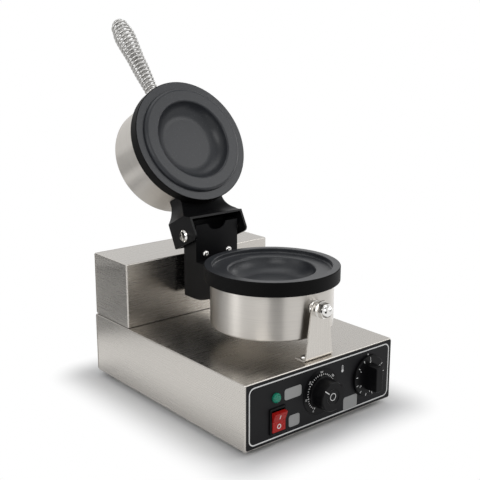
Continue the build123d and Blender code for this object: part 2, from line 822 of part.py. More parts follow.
def button_screw(plane, reach):
    """A button-head socket screw: a low dome with a hexagon socket, and its plain shank."""
    base = Plane(origin=plane.origin, x_dir=plane.x_dir, z_dir=-plane.y_dir)
    with BuildPart() as screw:
        with BuildSketch(base):
            with BuildLine():
                Line((0, 0), (cap_head_radius, 0))
                ThreePointArc(
                    (cap_head_radius, 0),
                    (cap_head_radius * 0.82, cap_head_height * 0.66),
                    (cap_head_radius * 0.42, cap_head_height),
                )
                Line((cap_head_radius * 0.42, cap_head_height), (0, cap_head_height))
                Line((0, cap_head_height), (0, 0))
            make_face()
        revolve(axis=Axis(plane.origin, plane.z_dir))
        with BuildSketch(plane.offset(cap_head_height)):
            RegularPolygon(cap_socket_across / sqrt(3), 6)
        extrude(amount=-cap_socket_depth, mode=Mode.SUBTRACT)
        with BuildSketch(plane):
            Circle(cap_screw_radius)
        extrude(amount=-reach)
    return screw.part


with BuildPart() as bracket_screws:
    for x, y in bracket_screw_spots:
        add(button_screw(Plane((x, y, deck + bracket_plate)), cap_screw_length))

# stud through the drum wall and the bracket, with its nuts and washers
stud_back = drum_front + drum_wall + jam_nut_height + 1.0
stud_front = bracket_front - washer_thickness - stud_nut_height
with BuildPart() as support_stud:
    with BuildSketch(facing(0, stud_back, stud_z)):
        Circle(stud_radius)
    extrude(amount=stud_back - stud_front)

with BuildPart() as stud_washers:
    for start, depth in (
        (bracket_front, washer_thickness),
        (drum_front - plate_gap, bracket_gap - plate_gap - jam_nut_height),
    ):
        with BuildSketch(facing(0, start, stud_z)):
            Circle(washer_radius)
            Circle(stud_radius + fit_gap, mode=Mode.SUBTRACT)
        extrude(amount=depth)

with BuildPart() as jam_nut:
    with BuildSketch(facing(0, bracket_rear + jam_nut_height, stud_z)):
        RegularPolygon(stud_nut_across / sqrt(3), 6)
        Circle(stud_radius + fit_gap, mode=Mode.SUBTRACT)
    extrude(amount=jam_nut_height)

nut_back = bracket_front - washer_thickness
with BuildPart() as acorn_nut:
    with BuildSketch(facing(0, nut_back, stud_z)):
        RegularPolygon(stud_nut_across / sqrt(3), 6)
    extrude(amount=stud_nut_height)
    dome_base = nut_back - stud_nut_height
    dome_radius = stud_nut_across / 2 - 0.6
    dome_wall = 1.0
    dome_centre = (dome_radius**2 + dome_wall**2 - stud_dome_height**2) / (2 * (stud_dome_height - dome_wall))
    dome_ball = stud_dome_height + dome_centre
    dome_lean = atan2(dome_radius, dome_wall + dome_centre) / 2
    with BuildSketch(Plane(origin=(0, dome_base, stud_z), x_dir=(1, 0, 0), z_dir=(0, 0, 1))):
        with BuildLine():
            Polyline((0, 0), (dome_radius, 0), (dome_radius, -dome_wall))
            ThreePointArc(
                (dome_radius, -dome_wall),
                (dome_ball * sin(dome_lean), dome_centre - dome_ball * cos(dome_lean)),
                (0, -stud_dome_height),
            )
            Line((0, -stud_dome_height), (0, 0))
        make_face()
    revolve(axis=Axis((0, 0, stud_z), (0, 1, 0)))
    with BuildSketch(facing(0, nut_back, stud_z)):
        Circle(stud_radius + fit_gap)
    extrude(amount=stud_nut_height + fit_gap, mode=Mode.SUBTRACT)

# hinge column: a channel of black plate whose cheeks reach forward to the drum
column_side = Plane(origin=(-column_half_width, 0, 0), x_dir=(0, 1, 0), z_dir=(1, 0, 0))
with BuildPart() as hinge_column:
    with BuildSketch(column_side):
        with BuildLine():
            Polyline(
                (column_rear, column_bottom),
                (column_rear, column_top),
                (column_front, column_top),
                (column_front, cheek_top),
                (pan_y, cheek_top),
                (pan_y, cheek_step_bottom),
                (column_front - cheek_step_run, cheek_step_bottom),
            )
            ThreePointArc(
                (column_front - cheek_step_run, cheek_step_bottom),
                (column_front - cheek_step_run * 0.4, column_bottom + 1.5),
                (column_front, column_bottom),
            )
            Line((column_front, column_bottom), (column_rear, column_bottom))
        make_face()
    extrude(amount=2 * column_half_width)
    with BuildSketch(Plane.XY.offset(column_bottom - 1)):
        with Locations((0, column_rear - column_plate)):
            Rectangle(
                2 * (column_half_width - column_plate),
                2 * column_rear + 4 * drum_radius,
                align=(Align.CENTER, Align.MAX),
            )
    extrude(amount=column_top - column_bottom + 2, mode=Mode.SUBTRACT)
    with BuildSketch(Plane.XY.offset(column_bottom - 1)):
        with Locations((0, pan_y)):
            Circle(column_cut_radius)
        with Locations((0, pan_y)):
            Rectangle(4 * drum_radius, 4 * drum_radius, align=(Align.CENTER, Align.MAX))
    extrude(amount=column_top - column_bottom + 2, mode=Mode.SUBTRACT)
    for x, z in mount_bolts:
        with BuildSketch(facing(x, column_rear, z)):
            Circle(mount_bolt_radius + fit_gap)
        extrude(amount=2 * column_plate, mode=Mode.SUBTRACT)
    with Locations(Location((0, hinge_y, hinge_z), (0, 90, 0))):
        Cylinder(pivot_radius + fit_gap, 4 * column_half_width, mode=Mode.SUBTRACT)

# plate across the front of the channel, notched at the top and turned forward over the cheeks
front_plate_back = column_front
front_plate_front = column_front - front_plate
with BuildPart() as column_front_plate:
    with BuildSketch(Plane(origin=(-column_half_width, 0, 0), x_dir=(0, 1, 0), z_dir=(1, 0, 0))):
        with BuildLine():
            Polyline(
                (front_plate_back, cheek_top),
                (front_plate_back, column_top),
                (front_plate_front, column_top),
                (front_plate_front, cheek_top + front_plate_sill),
                (0, cheek_top + front_plate_sill),
                (0, cheek_top),
                close=True,
            )
        make_face()
    extrude(amount=2 * column_half_width)
    with BuildSketch(facing(0, front_plate_front, 0)):
        with BuildLine():
            Polyline(
                (-notch_width / 2 - 3, column_top + 1),
                (-notch_width / 2, column_top),
                (-notch_width / 2 + 3.5, column_top - notch_depth * 0.62),
            )
            ThreePointArc(
                (-notch_width / 2 + 3.5, column_top - notch_depth * 0.62),
                (0, column_top - notch_depth),
                (notch_width / 2 - 3.5, column_top - notch_depth * 0.62),
            )
            Polyline(
                (notch_width / 2 - 3.5, column_top - notch_depth * 0.62),
                (notch_width / 2, column_top),
                (notch_width / 2 + 3, column_top + 1),
                (-notch_width / 2 - 3, column_top + 1),
            )
        make_face()
    extrude(amount=-front_plate, mode=Mode.SUBTRACT)
    with BuildSketch(Plane.XY.offset(cheek_top - 1)):
        with Locations((0, pan_y)):
            Circle(plate_radius + 2 * plate_gap)
    extrude(amount=2 * front_plate_sill, mode=Mode.SUBTRACT)
    for side in (-1, 1):
        with BuildSketch(facing(side * column_screw_x, front_plate_front, column_screw_z)):
            Circle(cap_screw_radius + fit_gap)
        extrude(amount=-2 * front_plate, mode=Mode.SUBTRACT)

# a bar behind the front plate, between the cheeks, takes the two socket screws
with BuildPart() as column_screw_bar:
    with BuildSketch(facing(0, column_front, column_screw_z)):
        Rectangle(2 * (column_half_width - column_plate - fit_gap), column_bar_height)
    extrude(amount=-column_bar_depth)
    for side in (-1, 1):
        with BuildSketch(facing(side * column_screw_x, column_front, column_screw_z)):
            Circle(cap_screw_radius + fit_gap)
        extrude(amount=-column_bar_depth, mode=Mode.SUBTRACT)

with BuildPart() as column_screws:
    for side in (-1, 1):
        add(button_screw(facing(side * column_screw_x, front_plate_front, column_screw_z), cap_screw_length))

# block that stands the column off the housing, and the bolts through both
with BuildPart() as column_mount:
    with BuildSketch(facing(0, column_rear, mount_middle)):
        Rectangle(2 * mount_half_width, mount_top - mount_bottom)
    extrude(amount=-(housing_front - column_rear))
    for x, z in mount_bolts:
        with BuildSketch(facing(x, column_rear, z)):
            Circle(mount_bolt_radius + fit_gap)
        extrude(amount=-(housing_front - column_rear), mode=Mode.SUBTRACT)

with BuildPart() as mount_bolt_set:
    for x, z in mount_bolts:
        with BuildSketch(facing(x, column_rear - column_plate, z)):
            RegularPolygon(hex_head_across / sqrt(3), 6)
        extrude(amount=hex_head_height)
        with BuildSketch(facing(x, column_rear - column_plate, z)):
            Circle(mount_bolt_radius)
        extrude(amount=-(housing_front - column_rear + column_plate + 3 * sheet + 4.0))
        with BuildSketch(facing(x, housing_front + sheet, z)):
            RegularPolygon(hex_head_across / sqrt(3), 6)
        extrude(amount=-hex_head_height)

# pivot screws: slotted heads outside the ears, nuts inside the cheeks
ear_outer = hood_half_width
ear_inner = hood_half_width - hood_wall
nut_face = column_half_width - column_plate
with BuildPart() as pivot_screws:
    for side in (-1, 1):
        head_plane = Plane(
            origin=(side * (ear_outer + pivot_side_gap), hinge_y, hinge_z),
            x_dir=(0, 1, 0),
            z_dir=(side, 0, 0),
        )
        with BuildSketch(head_plane):
            Circle(pivot_head_radius)
        extrude(amount=pivot_head_height * 0.5)
        with BuildSketch(head_plane.offset(pivot_head_height * 0.5)):
            Circle(pivot_head_radius)
        extrude(amount=pivot_head_height * 0.5, taper=40)
        with BuildSketch(head_plane.offset(pivot_head_height)):
            Rectangle(pivot_slot_width, 2 * pivot_head_radius, rotation=24)
        extrude(amount=-pivot_slot_depth, mode=Mode.SUBTRACT)
        with BuildSketch(head_plane):
            Circle(pivot_radius)
        extrude(amount=-(ear_outer + pivot_side_gap - nut_face + pivot_nut_height + 1.5))

with BuildPart() as pivot_sleeves:
    for side in (-1, 1):
        sleeve_plane = Plane(origin=(side * column_half_width, 0, 0), x_dir=(0, 1, 0), z_dir=(side, 0, 0))
        with BuildSketch(sleeve_plane):
            with Locations((hinge_y, side * hinge_z)):
                Circle(sleeve_radius)
                Circle(pivot_radius + fit_gap, mode=Mode.SUBTRACT)
        extrude(amount=ear_inner - pivot_side_gap - column_half_width)

with BuildPart() as pivot_nuts:
    for side in (-1, 1):
        nut_plane = Plane(origin=(side * nut_face, 0, 0), x_dir=(0, 1, 0), z_dir=(-side, 0, 0))
        with BuildSketch(nut_plane):
            with Locations((hinge_y, -side * hinge_z)):
                RegularPolygon(pivot_nut_across / sqrt(3), 6)
                Circle(pivot_radius + fit_gap, mode=Mode.SUBTRACT)
        extrude(amount=pivot_nut_height)

# lid plate: the same casting with a boss that enters the recess of the lower plate
lid_section = on_lid(Plane(origin=(0, pan_y, 0), x_dir=(1, 0, 0), z_dir=(0, -1, 0)))
lid_axis = Axis(lid_section.origin, lid_section.y_dir)
lid_boss_face = lid_face - lid_boss_height
lid_cup_floor = lid_boss_face + cup_depth
with BuildPart() as lid_plate:
    with BuildSketch(lid_section):
        with BuildLine():
            Polyline(
                (0, lid_cup_floor + cup_wall),
                (0, lid_cup_floor),
                (cup_floor_radius, lid_cup_floor),
            )
            cup_slope(lid_boss_face, lid_cup_floor, 0)
            Line((cup_mouth_radius, lid_boss_face), (lid_boss_radius - lid_boss_round, lid_boss_face))
            RadiusArc(
                (lid_boss_radius - lid_boss_round, lid_boss_face),
                (lid_boss_radius, lid_boss_face + lid_boss_round),
                -lid_boss_round,
            )
            Polyline(
                (lid_boss_radius, lid_boss_face + lid_boss_round),
                (lid_boss_radius, lid_face),
                (plate_radius, lid_face),
                (plate_radius, lid_back),
                (cup_mouth_radius + cup_wall, lid_back),
                (cup_floor_radius + cup_wall, lid_cup_floor + cup_wall),
                (0, lid_cup_floor + cup_wall),
            )
        make_face()
    revolve(axis=lid_axis)
    circles = lid_plate.edges().filter_by(GeomType.CIRCLE)
    mouth = [e for e in circles if abs(e.radius - cup_mouth_radius) < 0.01]
    fillet(mouth, cup_mouth_fillet)
    circles = lid_plate.edges().filter_by(GeomType.CIRCLE)
    fillet([e for e in circles if abs(e.radius - plate_radius) < 0.01], 0.9)

# lid drum: spun cup of the same section, open toward the plate
with BuildPart() as lid_drum:
    with BuildSketch(lid_section):
        with BuildLine():
            FilletPolyline(
                (0, lid_top),
                (drum_radius, lid_top),
                (drum_radius, lid_back),
                radius=lid_cap_corner,
            )
            Line((drum_radius, lid_back), (drum_radius - drum_wall, lid_back))
            FilletPolyline(
                (drum_radius - drum_wall, lid_back),
                (drum_radius - drum_wall, lid_top - drum_wall),
                (0, lid_top - drum_wall),
                radius=lid_cap_corner - drum_wall,
            )
            Line((0, lid_top - drum_wall), (0, lid_top))
        make_face()
    revolve(axis=lid_axis)

with BuildPart() as lid_element:
    with BuildSketch(on_lid(Plane.XY.offset(lid_back))):
        with Locations((0, pan_y)):
            Circle(element_outer_radius)
            Circle(element_inner_radius, mode=Mode.SUBTRACT)
    extrude(amount=element_height)

with BuildPart() as lid_wool:
    with BuildSketch(on_lid(Plane.XY.offset(lid_top - drum_wall))):
        with Locations((0, pan_y)):
            Circle(wool_radius)
    extrude(amount=-lid_wool_height)

# hood: the lid's half of the hinge, a black casting, hollow, whose two ears hang on the pivot screws
hood_cut_radius = drum_radius + plate_gap


def hood_side(wall):
    """The hood from the side, or its hollow when given the wall."""
    with BuildSketch() as side:
        with BuildLine():
            Polyline(
                (pan_y + drum_radius * 0.6, hood_root_bottom + wall),
                (pan_y + drum_radius * 0.6, hood_root_top - wall),
                (hood_flare_start, hood_root_top - wall),
                (hood_flare_start + 20.0, hood_top - 1.0 - wall),
                (hood_rear - 2.0, hood_top - wall),
                (hood_rear + (2 * wall), hood_top - wall) if wall else (hood_rear - 1.0, hood_top - 1.0),
                (hood_rear + (2 * wall), hood_ear_bottom - wall) if wall else (hood_rear, hood_ear_bottom + 8.0),
            )
            if wall:
                Line((hood_rear + 2 * wall, hood_ear_bottom - wall), (hood_mouth + wall, hood_ear_bottom - wall))
            else:
                FilletPolyline(
                    (hood_rear, hood_ear_bottom + 8.0),
                    (hood_rear - 0.6, hood_ear_bottom),
                    (hood_mouth, hood_ear_bottom),
                    radius=hood_ear_round,
                )
            ThreePointArc(
                (hood_mouth + wall, hood_ear_bottom - wall),
                (hood_mouth - 8.0 + wall, hood_ear_bottom + 14.0 + wall / 2),
                (hood_flare_start + wall, hood_root_bottom + wall),
            )
            Line(
                (hood_flare_start + wall, hood_root_bottom + wall),
                (pan_y + drum_radius * 0.6, hood_root_bottom + wall),
            )
        make_face()
    return side.sketch


def hood_plan(wall):
    """The hood from above: narrow at the drum, flaring to the ears."""
    reach = hood_rear + 20.0
    root = pan_y + drum_radius * 0.6
    with BuildSketch() as plan:
        with BuildLine():
            Line((-hood_root_half_width + wall, root), (hood_root_half_width - wall, root))
            Line((hood_root_half_width - wall, root), (hood_root_half_width - wall, hood_flare_start - 4.0))
            ThreePointArc(
                (hood_root_half_width - wall, hood_flare_start - 4.0),
                (
                    (hood_root_half_width + hood_half_width) / 2 - wall - 2.2,
                    (hood_flare_start - 4.0 + hood_flare_end) / 2 + 2.0,
                ),
                (hood_half_width - wall, hood_flare_end),
            )
            Polyline(
                (hood_half_width - wall, hood_flare_end),
                (hood_half_width - wall, reach),
                (-hood_half_width + wall, reach),
                (-hood_half_width + wall, hood_flare_end),
            )
            ThreePointArc(
                (-hood_half_width + wall, hood_flare_end),
                (
                    -(hood_root_half_width + hood_half_width) / 2 + wall + 2.2,
                    (hood_flare_start - 4.0 + hood_flare_end) / 2 + 2.0,
                ),
                (-hood_root_half_width + wall, hood_flare_start - 4.0),
            )
            Line((-hood_root_half_width + wall, hood_flare_start - 4.0), (-hood_root_half_width + wall, root))
        make_face()
    return plan.sketch


hood_side_plane = on_lid(Plane(origin=(-hood_half_width, 0, 0), x_dir=(0, 1, 0), z_dir=(1, 0, 0)))
hood_plan_plane = on_lid(Plane.XY.offset(hood_ear_bottom - hood_wall - 1.0))
hood_tall = hood_top - hood_ear_bottom + 2 * hood_wall
with BuildPart(mode=Mode.PRIVATE) as hood_hollow:
    with BuildSketch(hood_side_plane):
        add(hood_side(hood_wall))
    extrude(amount=2 * hood_half_width)
    with BuildSketch(hood_plan_plane):
        add(hood_plan(hood_wall))
    extrude(amount=hood_tall, mode=Mode.INTERSECT)

with BuildPart() as hinge_hood:
    with BuildSketch(hood_side_plane):
        add(hood_side(0))
    extrude(amount=2 * hood_half_width)
    with BuildSketch(hood_plan_plane):
        add(hood_plan(0))
    extrude(amount=hood_tall, mode=Mode.INTERSECT)
    add(hood_hollow.part, mode=Mode.SUBTRACT)
    with BuildSketch(hood_plan_plane):
        with Locations((0, pan_y)):
            Circle(hood_cut_radius)
    extrude(amount=hood_tall, mode=Mode.SUBTRACT)
    pivot_plane = on_lid(Plane(origin=(0, hinge_y, hinge_z), x_dir=(0, 1, 0), z_dir=(1, 0, 0)))
    with BuildSketch(pivot_plane):
        Circle(pivot_radius + pivot_gap)
    extrude(amount=2 * hood_half_width, both=True, mode=Mode.SUBTRACT)

# handle: a rod on a ferrule, with a swelling coil of spring wire round it as the grip
grip_root = on_lid(
    Plane(
        origin=(0, drum_front, handle_z),
        x_dir=(1, 0, 0),
        z_dir=(0, -cos(radians(handle_rise)), sin(radians(handle_rise))),
    )
)
with BuildPart() as handle_ferrule:
    with BuildSketch(grip_root.offset(-2.0)):
        Circle(ferrule_radius)
        Circle(rod_radius + fit_gap, mode=Mode.SUBTRACT)
    extrude(amount=ferrule_length + 2.0)
    with BuildSketch(on_lid(Plane.XY.offset(lid_back))):
        with Locations((0, pan_y)):
            Circle(drum_radius + fit_gap)
    extrude(amount=lid_drum_height, mode=Mode.SUBTRACT)

with BuildPart() as handle_rod:
    with BuildSketch(grip_root.offset(-rod_inset)):
        Circle(rod_radius)
    extrude(amount=rod_inset + grip_length - rod_short)
    with BuildSketch(grip_root.offset(-rod_inset)):
        RegularPolygon(rod_radius + rod_nut_rim, 6)
    extrude(amount=rod_nut_height)

with lid_drum:
    with BuildSketch(grip_root.offset(-rod_inset)):
        Circle(rod_radius + fit_gap)
    extrude(amount=rod_inset + ferrule_length, mode=Mode.SUBTRACT)


def spring_radius(share):
    """The coil's outer radius less the wire, from the root (0) to the tip (1)."""
    stations = (0.0, 0.45, 0.8, 0.93, 1.0)
    radii = (
        spring_root_radius,
        spring_middle_radius,
        spring_full_radius,
        spring_late_radius,
        spring_tip_radius,
    )
    for i in range(4):
        if share <= stations[i + 1]:
            t = (share - stations[i]) / (stations[i + 1] - stations[i])
            ease = t * t * (3 - 2 * t)
            return radii[i] + (radii[i + 1] - radii[i]) * ease - wire_radius
    return radii[-1] - wire_radius


spring_start = ferrule_length + wire_radius + 0.2
spring_climb = grip_length - spring_start - wire_radius


def spring_point(turn):
    share = turn / spring_turns
    angle = 2 * pi * turn
    radius = spring_radius(share)
    local = Vector(radius * cos(angle), radius * sin(angle), spring_start + spring_climb * share)
    return grip_root.from_local_coords(local)


def spring_tangent(turn):
    step = 0.002
    low = max(turn - step, 0.0)
    high = min(turn + step, float(spring_turns))
    return (spring_point(high) - spring_point(low)).normalized()


def biarc(start, start_way, end, end_way):
    """Two arcs, tangent to each other and to the two ways given."""
    chord = end - start
    ways = start_way + end_way
    bend = 2 * (1 - start_way.dot(end_way))
    along = chord.dot(ways)
    reach = (-along + sqrt(along * along + bend * chord.dot(chord))) / bend
    middle = (start + end + (start_way - end_way) * reach) * 0.5
    TangentArc(start, middle, tangent=start_way)
    TangentArc(middle, end, tangent=-end_way, tangent_from_first=False)


with BuildPart() as grip_spring:
    with BuildLine() as spring_path:
        for half in range(2 * spring_turns):
            biarc(
                spring_point(half / 2),
                spring_tangent(half / 2),
                spring_point((half + 1) / 2),
                spring_tangent((half + 1) / 2),
            )
    with BuildSketch(Plane(origin=spring_point(0), z_dir=spring_tangent(0))):
        Circle(wire_radius)
    sweep(path=spring_path.wire())

# least gap of the coil to itself, on points a turn apart, and to the rod
turn_steps = 24
coil = [spring_point(i / turn_steps) for i in range(spring_turns * turn_steps + 1)]
least = min(
    (coil[i] - coil[j]).length
    for i in range(len(coil))
    for j in range(i + turn_steps // 2, min(i + 2 * turn_steps, len(coil)))
)
print("spring: least gap between turns", round(least - 2 * wire_radius, 2), "mm")
print("spring: least gap to the rod", round(spring_tip_radius - 2 * wire_radius - rod_radius, 2), "mm")

for name, piece in (
    ("base_shell", base_shell),
    ("base_floor", base_floor),
    ("base_back_panel", base_back_panel),
    ("rubber_feet", rubber_feet),
    ("foot_screws", foot_screws),
    ("housing_gasket", housing_gasket),
    ("housing_shell", housing_shell),
    ("housing_back_panel", housing_back_panel),
    ("panel_screws", panel_screws),
    ("cable_gland", cable_gland),
    ("control_panel", control_panel),
    ("lamp_lens", lamp_lens),
    ("lamp_barrel", lamp_barrel),
    ("switch_body", switch_body),
    ("rocker", rocker),
    ("thermostat_regulator", thermostat_regulator),
    ("thermostat_dial", thermostat_dial),
    ("thermostat_knob", thermostat_knob),
    ("thermostat_shaft", thermostat_shaft),
    ("timer_case", timer_case),
    ("timer_knob", timer_knob),
    ("timer_shaft", timer_shaft),
    ("lower_plate", lower_plate),
    ("lower_drum", lower_drum),
    ("lower_element", lower_element),
    ("lower_wool", lower_wool),
    ("support_bracket", support_bracket),
    ("bracket_screws", bracket_screws),
    ("support_stud", support_stud),
    ("stud_washers", stud_washers),
    ("jam_nut", jam_nut),
    ("acorn_nut", acorn_nut),
    ("hinge_column", hinge_column),
    ("column_front_plate", column_front_plate),
    ("column_screw_bar", column_screw_bar),
    ("column_screws", column_screws),
    ("column_mount", column_mount),
    ("mount_bolt_set", mount_bolt_set),
    ("pivot_screws", pivot_screws),
    ("pivot_sleeves", pivot_sleeves),
    ("pivot_nuts", pivot_nuts),
    ("lid_plate", lid_plate),
    ("lid_drum", lid_drum),
    ("lid_element", lid_element),
    ("lid_wool", lid_wool),
    ("hinge_hood", hinge_hood),
    ("handle_ferrule", handle_ferrule),
    ("handle_rod", handle_rod),
    ("grip_spring", grip_spring),
):
    piece.part.label = name
    export_step(piece.part, f"parts/{name}.step")
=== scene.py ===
"""Looks for a countertop press with two hinged plates: finishes, printed marks and a studio.

Lengths are in metres unless a property says millimetres. X is right, Y is to the rear, Z is up.
"""

import json
from math import atan2, cos, pi, radians, sin

import bmesh
import bpy
from bpy.props import FloatProperty, FloatVectorProperty, IntProperty, PointerProperty
from mathutils import Matrix, Vector


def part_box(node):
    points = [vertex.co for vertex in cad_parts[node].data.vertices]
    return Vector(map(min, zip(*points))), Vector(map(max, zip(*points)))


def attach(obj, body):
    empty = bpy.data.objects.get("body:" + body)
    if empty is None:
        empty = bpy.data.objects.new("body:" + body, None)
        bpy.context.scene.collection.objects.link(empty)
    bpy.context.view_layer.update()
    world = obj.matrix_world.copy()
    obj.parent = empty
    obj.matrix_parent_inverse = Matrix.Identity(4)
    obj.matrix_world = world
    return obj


bl_info = {
    "name": "Plate press looks",
    "version": (1, 0, 0),
    "blender": (4, 5, 0),
    "location": "View3D > Sidebar > Plate press",
    "description": "Finishes, printed marks and a studio for a press with two hinged plates",
    "category": "Object",
}

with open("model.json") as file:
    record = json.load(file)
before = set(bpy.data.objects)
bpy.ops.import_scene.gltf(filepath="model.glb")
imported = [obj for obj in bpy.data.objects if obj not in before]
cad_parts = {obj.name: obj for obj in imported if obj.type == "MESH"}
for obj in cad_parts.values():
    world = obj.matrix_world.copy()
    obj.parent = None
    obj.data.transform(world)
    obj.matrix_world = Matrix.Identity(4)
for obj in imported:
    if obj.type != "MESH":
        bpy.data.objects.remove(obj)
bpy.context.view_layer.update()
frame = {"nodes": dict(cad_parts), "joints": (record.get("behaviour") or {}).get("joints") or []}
nodes = frame["nodes"]
hinge = next(j for j in frame["joints"] if j["name"] == "lid_hinge")


def middle_of(node):
    """The middle of a CAD node, by its box."""
    low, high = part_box(node)
    return (low + high) / 2


MM = 0.001
PANEL_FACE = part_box("control_panel")[0].y
DIAL_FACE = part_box("thermostat_dial")[0].y
KNOB_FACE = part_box("thermostat_knob")[0].y
DIAL_CENTRE = middle_of("thermostat_dial")
TIMER_CENTRE = middle_of("timer_knob")
PLATE_CENTRE = middle_of("lower_plate")
PLATE_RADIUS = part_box("lower_plate")[1].x - PLATE_CENTRE.x
# width of the band round the outside of the plates that is coloured darker, a painted shade
SHADED_RIM_BAND = 0.9 * MM
BASE_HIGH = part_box("base_shell")[1]

# plain colours that a user has no call to change
MOULDING = (0.004, 0.004, 0.0045)
RUBBER = (0.012, 0.012, 0.012)
HEATER = (0.16, 0.14, 0.13)
WOOL = (0.55, 0.52, 0.42)

# the CAD nodes that wear each finish; the lamp's lens and the rocker get theirs with their marks
WORN = {
    "sheet_steel": ("base_shell", "base_floor", "base_back_panel", "housing_shell", "housing_back_panel"),
    "bracket_steel": ("support_bracket",),
    "drum_steel_low": ("lower_drum",),
    "drum_steel_lid": ("lid_drum",),
    "plate_coating_low": ("lower_plate",),
    "plate_coating_lid": ("lid_plate",),
    "hinge_paint": ("hinge_column", "column_front_plate", "column_screw_bar", "column_mount", "hinge_hood"),
    "panel_face": ("control_panel",),
    "black_moulding": (
        *("switch_body", "thermostat_knob", "timer_knob", "thermostat_dial"),
        *("lamp_barrel", "thermostat_regulator", "timer_case", "cable_gland"),
    ),
    "black_rubber": ("rubber_feet", "housing_gasket"),
    "heater_metal": ("lower_element", "lid_element"),
    "mineral_wool": ("lower_wool", "lid_wool"),
    "bright_plating": (
        *("acorn_nut", "jam_nut", "stud_washers", "support_stud", "bracket_screws"),
        *("column_screws", "pivot_screws", "handle_ferrule"),
    ),
    "spring_plating": ("grip_spring",),
    "plain_steel": (
        *("pivot_sleeves", "pivot_nuts", "mount_bolt_set", "panel_screws"),
        *("foot_screws", "thermostat_shaft", "timer_shaft", "handle_rod"),
    ),
}

# how far the back of a mark stands in what carries it, in metres
SUNK = 0.02 * MM

# marks, in millimetres
LABELS = {  # middle across, middle up, width, height
    "label_lamp": (-49.0, 62.5, 26.5, 13.7),
    "label_switch": (-46.7, 27.3, 17.0, 14.6),
    "label_timer": (47.0, 23.0, 24.0, 17.0),
}
LONG_TICK, SHORT_TICK = (2.6, 1.1), (1.8, 0.95)  # length, width
LONG_TICK_EVERY = 6
DIAL_NUMBERS = range(0, 301, 50)
POINTER = (13.2, 8.5, 1.1)  # from the knob's middle, length, width
TIMER_TICK = (23.4, 3.4, 0.8)  # from the knob's middle, length, width
KNOB_RING = (9.4, 7.8)  # outer and inner diameter
ROCKER_RING = (6.0, 3.8)  # outer and inner diameter
ROCKER_STROKE = (5.6, 1.3)  # length, width
ICON_STEM = ((2.2, 7.4), (1.0, 6.2))  # outer and inner width and height
ICON_BULB = 3.8  # diameter

# material, bearing and spread in degrees from the right round to the rear, distance from the plates, height
CARDS = {
    "card_rear_right": ("dark_card", 75, 60, 0.46, 0.17),
    "card_front": ("dark_card", 236, 24, 0.46, 0.19),
    "card_rear_left": ("grey_card", 133, 34, 0.42, 0.11),
    "card_far_left": ("dark_card", 124, 18, 0.85, 0.30),
}

# place, width, height and the setting that holds the power
LAMPS = {
    "key_light": ((-1.5, -1.1, 1.3), 1.1, 0.9, "key_power"),
    "fill_light": ((1.25, -1.30, 1.35), 1.2, 1.0, "fill_power"),
    "top_light": ((0.1, 0.3, 2.0), 1.4, 1.0, "top_power"),
    "left_strip": ((-1.2, 0.30, 0.30), 0.30, 0.8, "strip_power"),
    "right_strip": ((1.25, 0.10, 0.30), 0.30, 0.8, "strip_power"),
}


class StudioSizes(bpy.types.PropertyGroup):
    """Camera and light."""

    camera_x: FloatProperty(name="Camera X", description="Where the camera stands", default=-0.6896, unit="LENGTH")
    camera_y: FloatProperty(name="Camera Y", description="Where the camera stands", default=-0.8445, unit="LENGTH")
    camera_z: FloatProperty(name="Camera Z", description="Where the camera stands", default=0.4746, unit="LENGTH")
    azimuth: FloatProperty(
        name="Azimuth", description="Turn of the view about the vertical", default=radians(-39.4), subtype="ANGLE"
    )
    elevation: FloatProperty(
        name="Elevation", description="How far the camera looks down", default=radians(13.9), subtype="ANGLE"
    )
    lens: FloatProperty(name="Lens", description="Focal length in millimetres", default=65.55, min=10)
    key_power: FloatProperty(name="Key power", description="Power of the large light on the left", default=11.0)
    fill_power: FloatProperty(name="Fill power", description="Power of the light on the right", default=10.0)
    top_power: FloatProperty(name="Top power", description="Power of the light overhead", default=5.5)
    strip_power: FloatProperty(name="Strip power", description="Power of the narrow lights at the sides", default=1.6)
    world_level: FloatProperty(name="World level", description="Strength of the surroundings", default=0.40)
    shadow_reach: FloatProperty(
        name="Shadow reach",
        description="How far from the base the floor keeps the shadow",
        default=0.070,
        unit="LENGTH",
    )


class FinishColours(bpy.types.PropertyGroup):
    """Colours of the press."""

    steel: FloatVectorProperty(
        name="Steel", description="Brushed stainless sheet", default=(0.56, 0.535, 0.50), subtype="COLOR"
    )
    coating: FloatVectorProperty(
        name="Coating", description="Non-stick coating of the plates", default=(0.023, 0.025, 0.029), subtype="COLOR"
    )
    # painted shade: the side of the plates has the same coating as the face, coloured darker here to stand for the
    # shade on it
    rim_side: FloatVectorProperty(
        name="Rim side",
        description="Coating round the outside of the plates",
        default=(0.002, 0.002, 0.002),
        subtype="COLOR",
    )
    flecks: FloatVectorProperty(
        name="Flecks", description="Light grains in the coating", default=(0.13, 0.13, 0.14), subtype="COLOR"
    )
    paint: FloatVectorProperty(
        name="Paint", description="Black paint of the hinge", default=(0.005, 0.005, 0.0055), subtype="COLOR"
    )
    plating: FloatVectorProperty(
        name="Plating", description="Bright plated steel", default=(0.78, 0.77, 0.75), subtype="COLOR"
    )
    overlay: FloatVectorProperty(
        name="Overlay", description="Face of the control panel", default=(0.010, 0.010, 0.011), subtype="COLOR"
    )
    print_white: FloatVectorProperty(
        name="Print", description="White printed lines and numbers", default=(0.78, 0.78, 0.77), subtype="COLOR"
    )
    label: FloatVectorProperty(
        name="Label", description="Blank grey label", default=(0.33, 0.33, 0.325), subtype="COLOR"
    )
    rocker: FloatVectorProperty(
        name="Rocker", description="Red key of the switch", default=(0.42, 0.012, 0.010), subtype="COLOR"
    )
    lens: FloatVectorProperty(
        name="Lens", description="Green lens of the lamp", default=(0.002, 0.17, 0.105), subtype="COLOR"
    )


